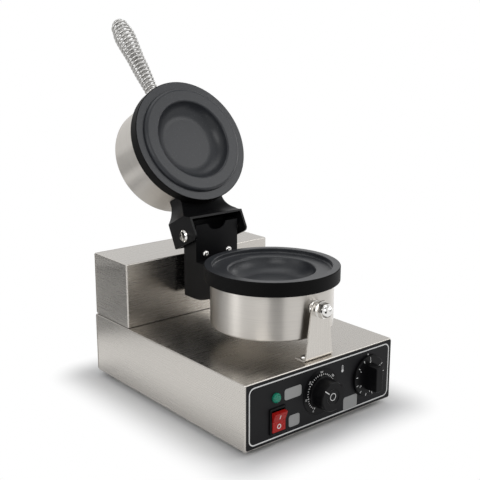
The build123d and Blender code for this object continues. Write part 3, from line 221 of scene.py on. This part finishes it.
class MarkSizes(bpy.types.PropertyGroup):
    """Printed marks, in millimetres."""

    film: FloatProperty(name="Film", description="Thickness of print, mm", default=0.12, min=0.02)
    border_inset: FloatProperty(name="Border inset", description="Border line from the panel's edge, mm", default=3.4)
    border_width: FloatProperty(name="Border width", description="Width of the border line, mm", default=1.5)
    border_corner: FloatProperty(name="Border corner", description="Outer corner radius of the line, mm", default=8.0)
    dial_ticks: IntProperty(name="Dial ticks", description="Ticks round the thermostat dial", default=37, min=2)
    dial_ring: FloatProperty(name="Dial ring", description="Outer radius of the ticks, mm", default=22.6)
    number_size: FloatProperty(name="Number size", description="Height of the timer's numbers, mm", default=4.6)
    timer_numbers: IntProperty(name="Timer numbers", description="Numbers round the timer skirt", default=6, min=2)


class Wire:
    """A value inside a finish. Arithmetic on it adds the Math nodes that work it out."""

    def __init__(self, finish, socket):
        self.finish = finish
        self.socket = socket

    def __add__(self, other):
        return self.finish.maths("ADD", self, other)

    def __radd__(self, other):
        return self.finish.maths("ADD", other, self)

    def __sub__(self, other):
        return self.finish.maths("SUBTRACT", self, other)

    def __rsub__(self, other):
        return self.finish.maths("SUBTRACT", other, self)

    def __mul__(self, other):
        return self.finish.maths("MULTIPLY", self, other)

    def __rmul__(self, other):
        return self.finish.maths("MULTIPLY", other, self)

    def __truediv__(self, other):
        return self.finish.maths("DIVIDE", self, other)

    def __rtruediv__(self, other):
        return self.finish.maths("DIVIDE", other, self)

    def __pow__(self, other):
        return self.finish.maths("POWER", self, other)

    def __rpow__(self, other):
        return self.finish.maths("POWER", other, self)

    def above(self, level):
        """One where the value is greater than the level, and nought elsewhere."""
        return self.finish.maths("GREATER_THAN", self, level)

    def size(self):
        """The value without its sign."""
        return self.finish.maths("ABSOLUTE", self)


class Finish:
    """A material of the press, built up node by node."""

    def __init__(self, name):
        self.material = bpy.data.materials.new(name)
        self.material.use_nodes = True
        self.tree = self.material.node_tree
        self.shader = self.tree.nodes["Principled BSDF"]

    @classmethod
    def around(cls, world):
        """The same node maker for the surroundings, from an empty tree."""
        made = cls.__new__(cls)
        made.tree = world.node_tree
        made.tree.nodes.clear()
        return made

    def node(self, kind, settings=None, inputs=None, out=0):
        """Adds a node, sets it up, feeds its sockets and hands back one of its outputs."""
        made = self.tree.nodes.new(kind)
        for key, value in (settings or {}).items():
            if key == "stops":
                ramp = made.color_ramp
                while len(ramp.elements) < len(value):
                    ramp.elements.new(0.5)
                for element, (place, colour) in zip(ramp.elements, value):
                    element.position = place
                    element.color = colour if len(colour) == 4 else (*colour, 1.0)
            else:
                setattr(made, key, value)
        for key, value in (inputs or {}).items():
            self.feed(made.inputs[key], value)
        return Wire(self, made.outputs[out])

    def feed(self, socket, value):
        """Links a wire to a socket, or sets the socket's own value."""
        if isinstance(value, Wire):
            self.tree.links.new(value.socket, socket)
        elif hasattr(value, "__len__") and socket.type == "RGBA" and len(value) == 3:
            socket.default_value = (*value, 1.0)
        else:
            socket.default_value = value

    def maths(self, operation, first, second=None):
        """One Math node."""
        inputs = {0: first} if second is None else {0: first, 1: second}
        return self.node("ShaderNodeMath", {"operation": operation}, inputs)

    def blend(self, share, low, high):
        """Goes from one colour to the other as share goes from 0 to 1."""
        return self.node("ShaderNodeMix", {"data_type": "RGBA"}, {0: share, 6: low, 7: high}, out=2)

    def place(self):
        """Where a point is on the press, in metres, at rest."""
        return self.node("ShaderNodeTexCoord", out="Object")

    def way(self):
        """Which way the surface faces, at rest."""
        return self.node("ShaderNodeTexCoord", out="Normal")

    def stretched(self, vector, x, y, z):
        """A place scaled along each axis, so that a texture in it gets finer there."""
        return self.node("ShaderNodeMapping", {}, {"Vector": vector, "Scale": (x, y, z)})

    def noise(self, vector, scale, detail=2.0, rough=0.5):
        """Cloudy values about a half."""
        return self.node(
            "ShaderNodeTexNoise", {}, {"Vector": vector, "Scale": scale, "Detail": detail, "Roughness": rough}
        )

    def cells(self, vector, scale, randomness=1.0):
        """How far a point is from the nearest of many scattered ones."""
        return self.node(
            "ShaderNodeTexVoronoi",
            {"feature": "F1"},
            {"Vector": vector, "Scale": scale, "Randomness": randomness},
            out="Distance",
        )

    def split(self, vector):
        """The three parts of a vector."""
        made = self.node("ShaderNodeSeparateXYZ", {}, {0: vector}).socket.node
        return [Wire(self, socket) for socket in made.outputs]

    def join(self, x, y, z):
        """A vector from its three parts."""
        return self.node("ShaderNodeCombineXYZ", {}, {0: x, 1: y, 2: z})

    def bump(self, height, strength, distance):
        """A normal that shows the height as fine relief."""
        return self.node("ShaderNodeBump", {}, {"Height": height, "Strength": strength, "Distance": distance})

    def surface(self, **sockets):
        """Feeds the shader: base_color goes to Base Color, and so on."""
        for key, value in sockets.items():
            name = " ".join(word.upper() if word == "ior" else word.capitalize() for word in key.split("_"))
            self.feed(self.shader.inputs[name], value)
        return self.material


def grey(level):
    """A colour without a tint."""
    return (level, level, level)


# how light or dark each brush line is against the sheet
BRUSH_LINES = [(0.3, (0.93, 0.93, 0.93)), (0.5, (1.0, 1.0, 1.0)), (0.7, (1.05, 1.047, 1.044))]

# what polished metal mirrors all round, from the left by the front, the right and the rear back to the left
STUDIO_PANELS = [
    (0.00, grey(0.86)),
    (0.06, grey(0.66)),
    (0.10, grey(0.40)),
    (0.17, grey(0.38)),
    (0.215, grey(1.0)),
    (0.29, grey(1.0)),
    (0.34, grey(0.50)),
    (0.48, grey(0.74)),
    (0.66, grey(0.84)),
    (0.73, grey(1.0)),
    (0.80, grey(1.0)),
    (0.86, grey(0.66)),
    (0.93, grey(1.0)),
    (1.00, grey(0.95)),
]


def seen_rays(finish):
    """One for what the camera, a mirror or glass sees of the floor, and nought for the light it sheds."""
    path = finish.node("ShaderNodeLightPath").socket.node
    camera, glossy, clear = (
        Wire(finish, path.outputs[kind]) for kind in ("Is Camera Ray", "Is Glossy Ray", "Is Transmission Ray")
    )
    return finish.maths("MAXIMUM", finish.maths("MAXIMUM", camera, glossy), clear)


def wear(material, *names):
    """Gives CAD nodes a finish."""
    for name in names:
        slots = nodes[name].material_slots
        for slot in slots:
            slot.material = material
        if not slots:
            nodes[name].data.materials.append(material)


def finish_named(name):
    """A finish that an operator has made before."""
    return bpy.data.materials[name]


def lid_shut_place(finish):
    """Where a point of the lid is with the lid shut, worked out from where it is at rest."""
    turn = radians(hinge["range_deg"][1])
    pivot = Vector(hinge["pos_m"])
    shift = pivot - Matrix.Rotation(turn, 3, "X") @ pivot
    return finish.node(
        "ShaderNodeMapping", {}, {"Vector": finish.place(), "Location": shift, "Rotation": (turn, 0, 0)}
    )


def brushed(name, colour, streak_place, roughness=0.27, depth=0.02, pull=0.0, pull_turn=0.0):
    """Brushed stainless: fine light and dark lines along the grain, with broad uneven patches.

    Pull draws reflections out across the grain, as on a turned drum.
    """
    finish = Finish(name)
    place = streak_place(finish)
    fine = finish.noise(place, 1.0, 3.0, 0.7)
    coarse = finish.noise(finish.stretched(place, 0.3, 0.3, 0.3), 1.0)
    cloud = finish.noise(finish.place(), 9.0)
    streak = fine * 0.8 + coarse * 0.2
    shade = finish.node("ShaderNodeValToRGB", {"stops": BRUSH_LINES}, {0: streak})
    tint = finish.node(
        "ShaderNodeMix", {"data_type": "RGBA", "blend_type": "MULTIPLY"}, {0: 1.0, 6: (*colour, 1.0), 7: shade}, out=2
    )
    return finish.surface(
        base_color=tint,
        metallic=1.0,
        roughness=roughness + (streak - 0.5) * 0.16 + (cloud - 0.5) * 0.06,
        anisotropic=pull,
        anisotropic_rotation=pull_turn,
        normal=finish.bump(streak, depth, 0.0003),
    )


def folded_grain(finish):
    """Grain along X on the deck, the fronts and the back, and along Y on the side walls."""
    coarse, fine, side_wall = 22.0, 1500.0, 0.6
    x, y, z = finish.split(finish.place())
    facing_x, _, _ = finish.split(finish.way())
    side = facing_x.size().above(side_wall)
    along = x * (1 - side) + y * side
    across = y * (1 - side) + x * side
    return finish.join(along * coarse, across * fine, z * fine)


def upright_grain(finish):
    """Grain up and down."""
    coarse, fine = 24.0, 1600.0
    return finish.stretched(finish.place(), fine, fine, coarse)


def round_grain(place_of):
    """Grain that goes round a drum, and in rings on its flat end."""

    def grain(finish):
        coarse, fine = 2.2, 1400.0
        x, y, z = finish.split(place_of(finish))
        out = y - PLATE_CENTRE.y
        angle = finish.maths("ARCTAN2", out, x)
        radius = (x * x + out * out) ** 0.5
        return finish.join(angle * coarse, radius * fine, z * fine)

    return grain


def coated(name, colour, flecks, roughness, place_of, rim_shade_colour):
    """Non-stick coating: a dark satin film, faintly rough, with scattered light grains.

    Round the outside of the rim it is coloured blacker, a painted shade of the same coating. It has no clear coat
    there and is a little rougher.
    """
    finish = Finish(name)
    place = finish.place()
    x, y, _ = finish.split(place_of(finish))
    out = y - PLATE_CENTRE.y
    # the outside of the rim: there the coating is coloured darker as a painted shade and loses its clear coat
    rim = ((x * x + out * out) ** 0.5).above(PLATE_RADIUS - SHADED_RIM_BAND)
    grain = finish.cells(place, 900.0)
    pick = finish.noise(place, 620.0, 2.0, 0.6)
    fleck = finish.node(
        "ShaderNodeValToRGB", {"stops": [(0.56, grey(0)), (0.72, grey(1))]}, {0: pick * (1.25 - grain)}
    )
    cloud = finish.noise(place, 26.0, 3.0, 0.55)
    base = finish.blend(cloud, [c * 0.86 for c in colour], [c * 1.14 for c in colour])
    return finish.surface(
        base_color=finish.blend(rim, finish.blend(fleck * 0.55, base, flecks), rim_shade_colour),
        roughness=roughness + (cloud - 0.5) * 0.10 + rim * 0.12,
        specular_ior_level=0.08,
        coat_weight=(1 - rim) * 0.58,
        coat_roughness=0.34,
        normal=finish.bump(finish.noise(place, 1500.0, 2.0, 0.6), 0.10, 0.0003),
    )


def painted(name, colour, roughness, bumps=700.0, depth=0.05, gloss=0.18):
    """Paint or moulded plastic: one deep colour with a faint orange peel and a few dull patches."""
    finish = Finish(name)
    place = finish.place()
    cloud = finish.noise(place, 38.0, 3.0, 0.5)
    return finish.surface(
        base_color=finish.blend(cloud, [c * 0.85 for c in colour], [c * 1.2 for c in colour]),
        roughness=roughness + (cloud - 0.5) * 0.12,
        specular_ior_level=gloss,
        normal=finish.bump(finish.noise(place, bumps), depth, 0.0002),
    )


def plated(name, colour, roughness):
    """Bright plated steel, with the faint cloudiness of handling."""
    finish = Finish(name)
    cloud = finish.noise(finish.place(), 120.0, 3.0, 0.6)
    return finish.surface(
        base_color=finish.blend(cloud, [c * 0.93 for c in colour], colour),
        metallic=1.0,
        roughness=roughness + (cloud - 0.5) * 0.08,
    )


def printed(name, colour):
    """Screen-printed ink on the panel."""
    finish = Finish(name)
    cloud = finish.noise(finish.place(), 400.0)
    return finish.surface(
        base_color=finish.blend(cloud, [c * 0.88 for c in colour], colour), roughness=0.42 + cloud * 0.1
    )


def outline_round(width, height, corner, steps=8):
    """Points of a rounded rectangle about the origin, right way round."""
    corner = min(corner, width / 2, height / 2)
    points = []
    for i, (sx, sz) in enumerate(((1, 1), (-1, 1), (-1, -1), (1, -1))):
        cx = sx * (width / 2 - corner)
        cz = sz * (height / 2 - corner)
        for k in range(steps + 1):
            a = pi / 2 * (i + k / steps)
            points.append((cx + corner * cos(a), cz + corner * sin(a)))
    return points


def disc(diameter, steps=8):
    """Points of a circle: a rounded rectangle that is all corner."""
    return outline_round(diameter, diameter, diameter / 2, steps)


def round_dial(reach, angle):
    """A place at some distance from a dial's middle. The angle goes from the top to the right."""
    return (reach * sin(angle), reach * cos(angle))


def facet(node, upper):
    """Where to set a mark on the upper or lower half of a tilted key, found on its own mesh."""
    facing_front = -0.8
    low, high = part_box(node)
    level = (low.z + high.z) / 2
    sides = [p for p in nodes[node].data.polygons if p.normal.y < facing_front and (p.center.z > level) == upper]
    whole = sum(p.area for p in sides)
    middle = sum((p.center * p.area for p in sides), Vector()) / whole
    facing = sum((p.normal * p.area for p in sides), Vector()).normalized()
    return Matrix.Translation(middle) @ Matrix.Rotation(atan2(-facing.z, -facing.y), 4, "X")


def ride_as_piece(bm, name, material, body, placed):
    """Turns finished geometry into a piece that rides on a body. Placed, if given, moves it there."""
    if placed is not None:
        bm.transform(placed)
    mesh = bpy.data.meshes.new(name)
    bm.to_mesh(mesh)
    bm.free()
    mesh.materials.append(material)
    piece = bpy.data.objects.new(name, mesh)
    bpy.context.scene.collection.objects.link(piece)
    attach(piece, body)


def solid_from(name, outer, inner, back, front, material, body, centre=(0.0, 0.0), soft_edge=0.0, placed=None):
    """A flat piece on the front of the press, from its outline in X and Z, with an optional hole."""
    same_place = 1e-7
    bm = bmesh.new()

    def ring(points, y):
        return [bm.verts.new((centre[0] + px, y, centre[1] + pz)) for px, pz in points]

    pairs = [(k, (k + 1) % len(outer)) for k in range(len(outer))]
    outer_back, outer_front = ring(outer, back), ring(outer, front)
    for k, n in pairs:
        bm.faces.new((outer_back[k], outer_back[n], outer_front[n], outer_front[k]))
    if inner:
        inner_back, inner_front = ring(inner, back), ring(inner, front)
        for k, n in pairs:
            bm.faces.new((inner_back[n], inner_back[k], inner_front[k], inner_front[n]))
            bm.faces.new((outer_front[k], outer_front[n], inner_front[n], inner_front[k]))
            bm.faces.new((outer_back[n], outer_back[k], inner_back[k], inner_back[n]))
    else:
        bm.faces.new(outer_front)
        bm.faces.new(list(reversed(outer_back)))
    bmesh.ops.recalc_face_normals(bm, faces=bm.faces)
    if soft_edge:
        rim = [e for e in bm.edges if all(abs(v.co.y - front) < same_place for v in e.verts)]
        bmesh.ops.bevel(bm, geom=rim, offset=soft_edge, segments=2, affect="EDGES", profile=0.5)
    ride_as_piece(bm, name, material, body, placed)


def bars_on(name, bars, back, front, material, body, centre, placed=None):
    """Straight printed bars in one mesh. A bar is its middle, its length, its width and its turn."""
    bm = bmesh.new()
    for (mx, mz), length, width, turn in bars:
        along = Vector((cos(turn), 0, sin(turn))) * length / 2
        across = Vector((-sin(turn), 0, cos(turn))) * width / 2
        middle = Vector((centre[0] + mx, 0, centre[1] + mz))
        corners = []
        for y in (back, front):
            for a, b in ((-1, -1), (1, -1), (1, 1), (-1, 1)):
                p = middle + along * a + across * b
                corners.append(bm.verts.new((p.x, y, p.z)))
        for quad in ((0, 1, 2, 3), (7, 6, 5, 4), (0, 4, 5, 1), (1, 5, 6, 2), (2, 6, 7, 3), (3, 7, 4, 0)):
            bm.faces.new([corners[q] for q in quad])
    bmesh.ops.recalc_face_normals(bm, faces=bm.faces)
    ride_as_piece(bm, name, material, body, placed)


def numbers_on(name, texts, size, reach, angles, y, material, body, centre):
    """Printed numbers round a dial, each turned to stand on its own radius."""
    swelling = 0.04 * MM
    for k, (text, angle) in enumerate(zip(texts, angles)):
        curve = bpy.data.curves.new(f"{name}_{k}", "FONT")
        curve.body = text
        curve.size = size
        curve.align_x = "CENTER"
        curve.align_y = "CENTER"
        curve.extrude = swelling
        curve.offset = swelling
        curve.resolution_u = 3
        curve.materials.append(material)
        right, up = round_dial(reach, angle)
        place = Matrix.Translation((centre[0] + right, y, centre[1] + up))
        piece = bpy.data.objects.new(f"{name}_{k}", curve)
        piece.matrix_world = place @ Matrix.Rotation(angle, 4, "Y") @ Matrix.Rotation(pi / 2, 4, "X")
        bpy.context.scene.collection.objects.link(piece)
        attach(piece, body)


class PRESS_OT_finishes(bpy.types.Operator):
    """Make every finish and give it to the pieces that carry it"""

    bl_idname = "press.finishes"
    bl_label = "Finishes"

    def execute(self, context):
        c = context.scene.press_colours
        steel, plating, rim_side = tuple(c.steel), tuple(c.plating), tuple(c.rim_side)
        brushed("sheet_steel", steel, folded_grain)
        brushed("bracket_steel", [v * 1.04 for v in steel], upright_grain, 0.26)
        brushed("drum_steel_low", steel, round_grain(Finish.place), 0.36, pull=0.8, pull_turn=0.25)
        brushed("drum_steel_lid", steel, round_grain(lid_shut_place), 0.36, pull=0.8)
        for name, place_of in (("plate_coating_low", Finish.place), ("plate_coating_lid", lid_shut_place)):
            # the plates' outside gets the darker colour, a painted shade
            coated(name, tuple(c.coating), tuple(c.flecks), 0.40, place_of, rim_side)
        painted("hinge_paint", tuple(c.paint), 0.36, gloss=0.14)
        painted("panel_face", tuple(c.overlay), 0.42, 1400.0, 0.03, 0.12)
        painted("black_moulding", MOULDING, 0.34, gloss=0.11)
        painted("black_rubber", RUBBER, 0.72, 500.0, 0.12)
        painted("heater_metal", HEATER, 0.5)
        painted("mineral_wool", WOOL, 0.95, 300.0, 0.5)
        plated("bright_plating", plating, 0.10)
        plated("spring_plating", [v * 0.66 for v in plating], 0.14)
        plated("plain_steel", [v * 0.72 for v in plating], 0.30)
        printed("white_print", tuple(c.print_white))
        printed("grey_label", tuple(c.label))
        for name, worn_by in WORN.items():
            wear(finish_named(name), *worn_by)
        return {"FINISHED"}


class PRESS_OT_lamp_and_rocker(bpy.types.Operator):
    """Colour the lamp's lens and the rocker, and print the rocker's two marks"""

    bl_idname = "press.lamp_and_rocker"
    bl_label = "Lamp and rocker"

    def execute(self, context):
        c = context.scene.press_colours
        lens = Finish("green_lens")
        glow = lens.noise(lens.place(), 500.0)
        cut = lens.cells(lens.place(), 430.0, 0.55)
        lens.surface(
            base_color=lens.blend(glow, [v * 0.6 for v in c.lens], [min(1.0, v * 1.5) for v in c.lens]),
            roughness=0.12,
            coat_weight=0.2,
            specular_ior_level=0.3,
            emission_color=tuple(c.lens),
            emission_strength=0.12,
            normal=lens.bump(cut, 0.8, 0.0016),
        )
        wear(lens.material, "lamp_lens")
        key = Finish("red_key")
        cloud = key.noise(key.place(), 180.0)
        key.surface(
            base_color=key.blend(cloud, [v * 0.85 for v in c.rocker], tuple(c.rocker)),
            roughness=0.24 + cloud * 0.08,
            specular_ior_level=0.22,
        )
        wear(key.material, "rocker")
        ink = finish_named("white_print")
        film = context.scene.press_marks.film * MM
        stroke = ((0, 0), ROCKER_STROKE[0] * MM, ROCKER_STROKE[1] * MM, pi / 2)
        outer, inner = (disc(diameter * MM) for diameter in ROCKER_RING)
        bars_on("rocker_on", [stroke], 0.0, -film, ink, "rocker_key", (0, 0), facet("rocker", True))
        solid_from("rocker_off", outer, inner, 0.0, -film, ink, "rocker_key", placed=facet("rocker", False))
        return {"FINISHED"}


class PRESS_OT_border(bpy.types.Operator):
    """Print the line round the control panel"""

    bl_idname = "press.border"
    bl_label = "Border line"

    def execute(self, context):
        m = context.scene.press_marks
        low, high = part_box("control_panel")
        width = high.x - low.x - 2 * m.border_inset * MM
        height = high.z - low.z - 2 * m.border_inset * MM
        line = m.border_width * MM
        outer = outline_round(width, height, m.border_corner * MM)
        inner = outline_round(width - 2 * line, height - 2 * line, (m.border_corner - m.border_width) * MM)
        middle = ((low.x + high.x) / 2, (low.z + high.z) / 2)
        front = PANEL_FACE - m.film * MM
        solid_from("panel_border", outer, inner, PANEL_FACE, front, finish_named("white_print"), "base", middle)
        return {"FINISHED"}


class PRESS_OT_labels(bpy.types.Operator):
    """Set the blank grey labels on the panel"""

    bl_idname = "press.labels"
    bl_label = "Blank labels"

    def execute(self, context):
        corner, thickness, soft_edge = 3.2 * MM, 0.35 * MM, 0.15 * MM
        front = PANEL_FACE - thickness
        paper = finish_named("grey_label")
        for name, (x, z, width, height) in LABELS.items():
            outer = outline_round(width * MM, height * MM, corner, 6)
            solid_from(name, outer, None, PANEL_FACE, front, paper, "base", (x * MM, z * MM), soft_edge)
        return {"FINISHED"}


class PRESS_OT_dial_marks(bpy.types.Operator):
    """Print the ticks and numbers of the thermostat dial, and the mark and ring on its knob"""

    bl_idname = "press.dial_marks"
    bl_label = "Thermostat marks"

    def execute(self, context):
        m = context.scene.press_marks
        ink = finish_named("white_print")
        film = m.film * MM
        centre = (DIAL_CENTRE.x, DIAL_CENTRE.z)
        ring = m.dial_ring * MM
        first, last = radians(-150), radians(150)
        bars = []
        for k in range(m.dial_ticks):
            a = first + (last - first) * k / (m.dial_ticks - 1)
            length, width = (size * MM for size in (LONG_TICK if k % LONG_TICK_EVERY == 0 else SHORT_TICK))
            bars.append((round_dial(ring - length / 2, a), length, width, pi / 2 - a))
        bars_on("dial_ticks", bars, DIAL_FACE, DIAL_FACE - film, ink, "base", centre)
        texts = [str(degrees) for degrees in DIAL_NUMBERS]
        angles = [first + (last - first) * k / (len(texts) - 1) for k in range(len(texts))]
        size, past_ring = 3.1 * MM, 2.2 * MM
        level = DIAL_FACE - film / 2
        numbers_on("dial_number", texts, size, ring + past_ring, angles, level, ink, "base", centre)

        body = "thermostat_dial_knob"
        pointer = radians(-52)
        reach, length, width = (size * MM for size in POINTER)
        line = (round_dial(reach, pointer), length, width, pi / 2 - pointer)
        pointer_sunk, recess_depth = 0.05 * MM, 0.8 * MM
        bars_on("knob_pointer", [line], KNOB_FACE + pointer_sunk, KNOB_FACE - film, ink, body, centre)
        outer, inner = (disc(diameter * MM, 10) for diameter in KNOB_RING)
        recess = KNOB_FACE + recess_depth
        solid_from("knob_ring", outer, inner, recess + SUNK, recess - film, ink, body, centre)
        return {"FINISHED"}


class PRESS_OT_timer_marks(bpy.types.Operator):
    """Print the numbers on the timer's skirt, its zero mark on the panel and the icon beside it"""

    bl_idname = "press.timer_marks"
    bl_label = "Timer marks"

    def execute(self, context):
        m = context.scene.press_marks
        ink = finish_named("white_print")
        film = m.film * MM
        centre = (TIMER_CENTRE.x, TIMER_CENTRE.z)
        body, sweep, skirt_height = "timer_dial_knob", radians(300), 4.4 * MM
        skirt = PANEL_FACE - skirt_height
        reach, length, width = (size * MM for size in TIMER_TICK)
        last = 2 * m.timer_numbers - 1
        bars = []
        for k in range(last + 1):
            a = -sweep * k / last
            bars.append((round_dial(reach, a), length, width, pi / 2 - a))
        bars_on("timer_ticks", bars, skirt + SUNK, skirt - film, ink, body, centre)
        texts = [str(k) for k in range(m.timer_numbers)]
        angles = [-sweep * k / (m.timer_numbers - 1) for k in range(m.timer_numbers)]
        size, reach = m.number_size * MM, 19.0 * MM
        numbers_on("timer_number", texts, size, reach, angles, skirt - film / 2, ink, body, centre)

        icon, bulb_drop, bulb_film = (32.0 * MM, 71.6 * MM), 3.6 * MM, 1.2 * film
        outer, inner = (outline_round(w * MM, h * MM, w / 2 * MM, 6) for w, h in ICON_STEM)
        solid_from("heat_icon_stem", outer, inner, PANEL_FACE, PANEL_FACE - film, ink, "base", icon)
        bulb, low_end = disc(ICON_BULB * MM), (icon[0], icon[1] - bulb_drop)
        solid_from("heat_icon_bulb", bulb, None, PANEL_FACE, PANEL_FACE - bulb_film, ink, "base", low_end)
        side, above_dial = 1.7 * MM, (centre[0], 77.7 * MM)
        bars_on("timer_zero", [((0, 0), side, side, 0)], PANEL_FACE, PANEL_FACE - film, ink, "base", above_dial)
        return {"FINISHED"}


def set_floor(shadow_reach):
    """The floor: white to the eye, but for the shadow near the base."""
    mesh = bpy.data.meshes.new("floor")
    reach = 6.0
    corners = [(reach * sx, reach * sy, 0) for sx, sy in ((-1, -1), (1, -1), (1, 1), (-1, 1))]
    mesh.from_pydata(corners, [], [(0, 1, 2, 3)])
    floor = bpy.data.objects.new("floor", mesh)
    bpy.context.scene.collection.objects.link(floor)
    ground = Finish("pale_floor")
    shade = ground.noise(ground.place(), 3.0)
    ground.surface(base_color=ground.blend(shade, grey(0.78), grey(0.80)), roughness=0.9)
    seen = seen_rays(ground)
    x, y, _ = ground.split(ground.place())
    past_side = ground.maths("MAXIMUM", x.size() - BASE_HIGH.x, 0.0)
    past_end = ground.maths("MAXIMUM", y.size() - BASE_HIGH.y, 0.0)
    near = ground.node(
        "ShaderNodeMapRange",
        {"interpolation_type": "SMOOTHSTEP"},
        {
            "Value": (past_side * past_side + past_end * past_end) ** 0.5,
            "From Min": 0.004,
            "From Max": shadow_reach,
            "To Min": 0.0,
            "To Max": 1.0,
        },
    )
    blank = ground.node("ShaderNodeEmission", {}, {"Color": grey(1.0), "Strength": 1.0})
    lit = Wire(ground, ground.shader.outputs[0])
    mixed = ground.node("ShaderNodeMixShader", {}, {0: seen * near, 1: lit, 2: blank})
    ground.feed(ground.tree.nodes["Material Output"].inputs["Surface"], mixed)
    mesh.materials.append(ground.material)


def set_surroundings(level):
    """White to the eye, studio panels to polished metal, and an even faint light to the rest."""
    world = bpy.data.worlds.new("surroundings")
    bpy.context.scene.world = world
    world.use_nodes = True
    sky = Finish.around(world)
    east, north, _ = sky.split(sky.node("ShaderNodeTexCoord", out="Generated"))
    bearing = sky.maths("ARCTAN2", north, east) / (2 * pi) + 0.5
    panels = sky.node("ShaderNodeValToRGB", {"stops": STUDIO_PANELS}, {0: bearing})
    soft = sky.node("ShaderNodeBackground", {}, {"Color": (0.97, 0.98, 1.0), "Strength": level})
    mirrored = sky.node("ShaderNodeBackground", {}, {"Color": panels, "Strength": 1.0})
    white = sky.node("ShaderNodeBackground", {}, {"Color": grey(1.0), "Strength": 1.0})
    glossy, camera, clear = (
        sky.node("ShaderNodeLightPath", out=kind) for kind in ("Is Glossy Ray", "Is Camera Ray", "Is Transmission Ray")
    )
    studio = sky.node("ShaderNodeMixShader", {}, {0: glossy, 1: soft, 2: mirrored})
    to_the_eye = sky.maths("MAXIMUM", camera, clear)
    shown = sky.node("ShaderNodeMixShader", {}, {0: to_the_eye, 1: studio, 2: white})
    out = sky.tree.nodes.new("ShaderNodeOutputWorld")
    sky.feed(out.inputs["Surface"], shown)


def set_card(name, bearing, spread, reach, height, material):
    """A low curved card standing on the floor round the drum, which only polished metal sees."""
    mesh = bpy.data.meshes.new(name)
    steps = 12
    points = []
    for k in range(steps + 1):
        a = radians(bearing + spread * (k / steps - 0.5))
        for z in (0.0, height):
            points.append((PLATE_CENTRE.x + reach * cos(a), PLATE_CENTRE.y + reach * sin(a), z))
    mesh.from_pydata(points, [], [(2 * k, 2 * k + 2, 2 * k + 3, 2 * k + 1) for k in range(steps)])
    mesh.materials.append(material)
    card = bpy.data.objects.new(name, mesh)
    card.visible_camera = False
    card.visible_diffuse = False
    card.visible_shadow = False
    bpy.context.scene.collection.objects.link(card)


def set_cards():
    """The dark and grey cards that give the drums their bands."""
    made = {}
    for name, level in (("dark_card", 0.02), ("grey_card", 0.52)):
        flag = Finish(name)
        made[name] = flag.surface(base_color=grey(level), roughness=0.9, specular_ior_level=0.1)
    for name, (material, bearing, spread, reach, height) in CARDS.items():
        set_card(name, bearing, spread, reach, height, made[material])


def set_lamps(sizes):
    """Soft rectangular lamps, all turned to the middle of the press."""
    target = Vector((0, 0, 0.2))
    for name, (place, width, height, power) in LAMPS.items():
        light = bpy.data.lights.new(name, "AREA")
        light.shape = "RECTANGLE"
        light.size = width
        light.size_y = height
        light.energy = getattr(sizes, power)
        lamp = bpy.data.objects.new(name, light)
        lamp.location = place
        lamp.rotation_euler = (target - Vector(place)).to_track_quat("-Z", "Y").to_euler()
        bpy.context.scene.collection.objects.link(lamp)


def set_camera(sizes):
    """The camera, at the front left and about as high as the press."""
    camera = bpy.data.cameras.new("camera")
    camera.lens = sizes.lens
    camera.sensor_width = 36.0
    eye = bpy.data.objects.new("camera", camera)
    eye.location = (sizes.camera_x, sizes.camera_y, sizes.camera_z)
    eye.rotation_euler = (pi / 2 - sizes.elevation, 0.0, sizes.azimuth)
    bpy.context.scene.collection.objects.link(eye)
    bpy.context.scene.camera = eye


class PRESS_OT_studio(bpy.types.Operator):
    """Set the floor, the surroundings, the soft lights and the camera"""

    bl_idname = "press.studio"
    bl_label = "Studio"

    def execute(self, context):
        sizes = context.scene.press_studio
        context.scene.view_settings.view_transform = "Standard"
        set_floor(sizes.shadow_reach)
        set_surroundings(sizes.world_level)
        set_cards()
        set_lamps(sizes)
        set_camera(sizes)
        return {"FINISHED"}


class PRESS_PT_panel(bpy.types.Panel):
    """Lists what makes up the looks of the press"""

    bl_label = "Plate press"
    bl_idname = "PRESS_PT_panel"
    bl_space_type = "VIEW_3D"
    bl_region_type = "UI"
    bl_category = "Plate press"

    def draw(self, context):
        for operator in OPERATORS:
            self.layout.operator(operator.bl_idname)
        for group in (context.scene.press_colours, context.scene.press_marks, context.scene.press_studio):
            for key in group.__annotations__:
                self.layout.prop(group, key)


GROUPS = (StudioSizes, FinishColours, MarkSizes)
OPERATORS = (
    PRESS_OT_finishes,
    PRESS_OT_lamp_and_rocker,
    PRESS_OT_border,
    PRESS_OT_labels,
    PRESS_OT_dial_marks,
    PRESS_OT_timer_marks,
    PRESS_OT_studio,
)


def register():
    for item in (*GROUPS, *OPERATORS, PRESS_PT_panel):
        bpy.utils.register_class(item)
    bpy.types.Scene.press_studio = PointerProperty(type=StudioSizes)
    bpy.types.Scene.press_colours = PointerProperty(type=FinishColours)
    bpy.types.Scene.press_marks = PointerProperty(type=MarkSizes)


def unregister():
    del bpy.types.Scene.press_marks
    del bpy.types.Scene.press_colours
    del bpy.types.Scene.press_studio
    for item in reversed((*GROUPS, *OPERATORS, PRESS_PT_panel)):
        bpy.utils.unregister_class(item)


def main():
    register()
    for operator in OPERATORS:
        _, name = operator.bl_idname.split(".")
        getattr(bpy.ops.press, name)()


if __name__ == "__main__":
    main()
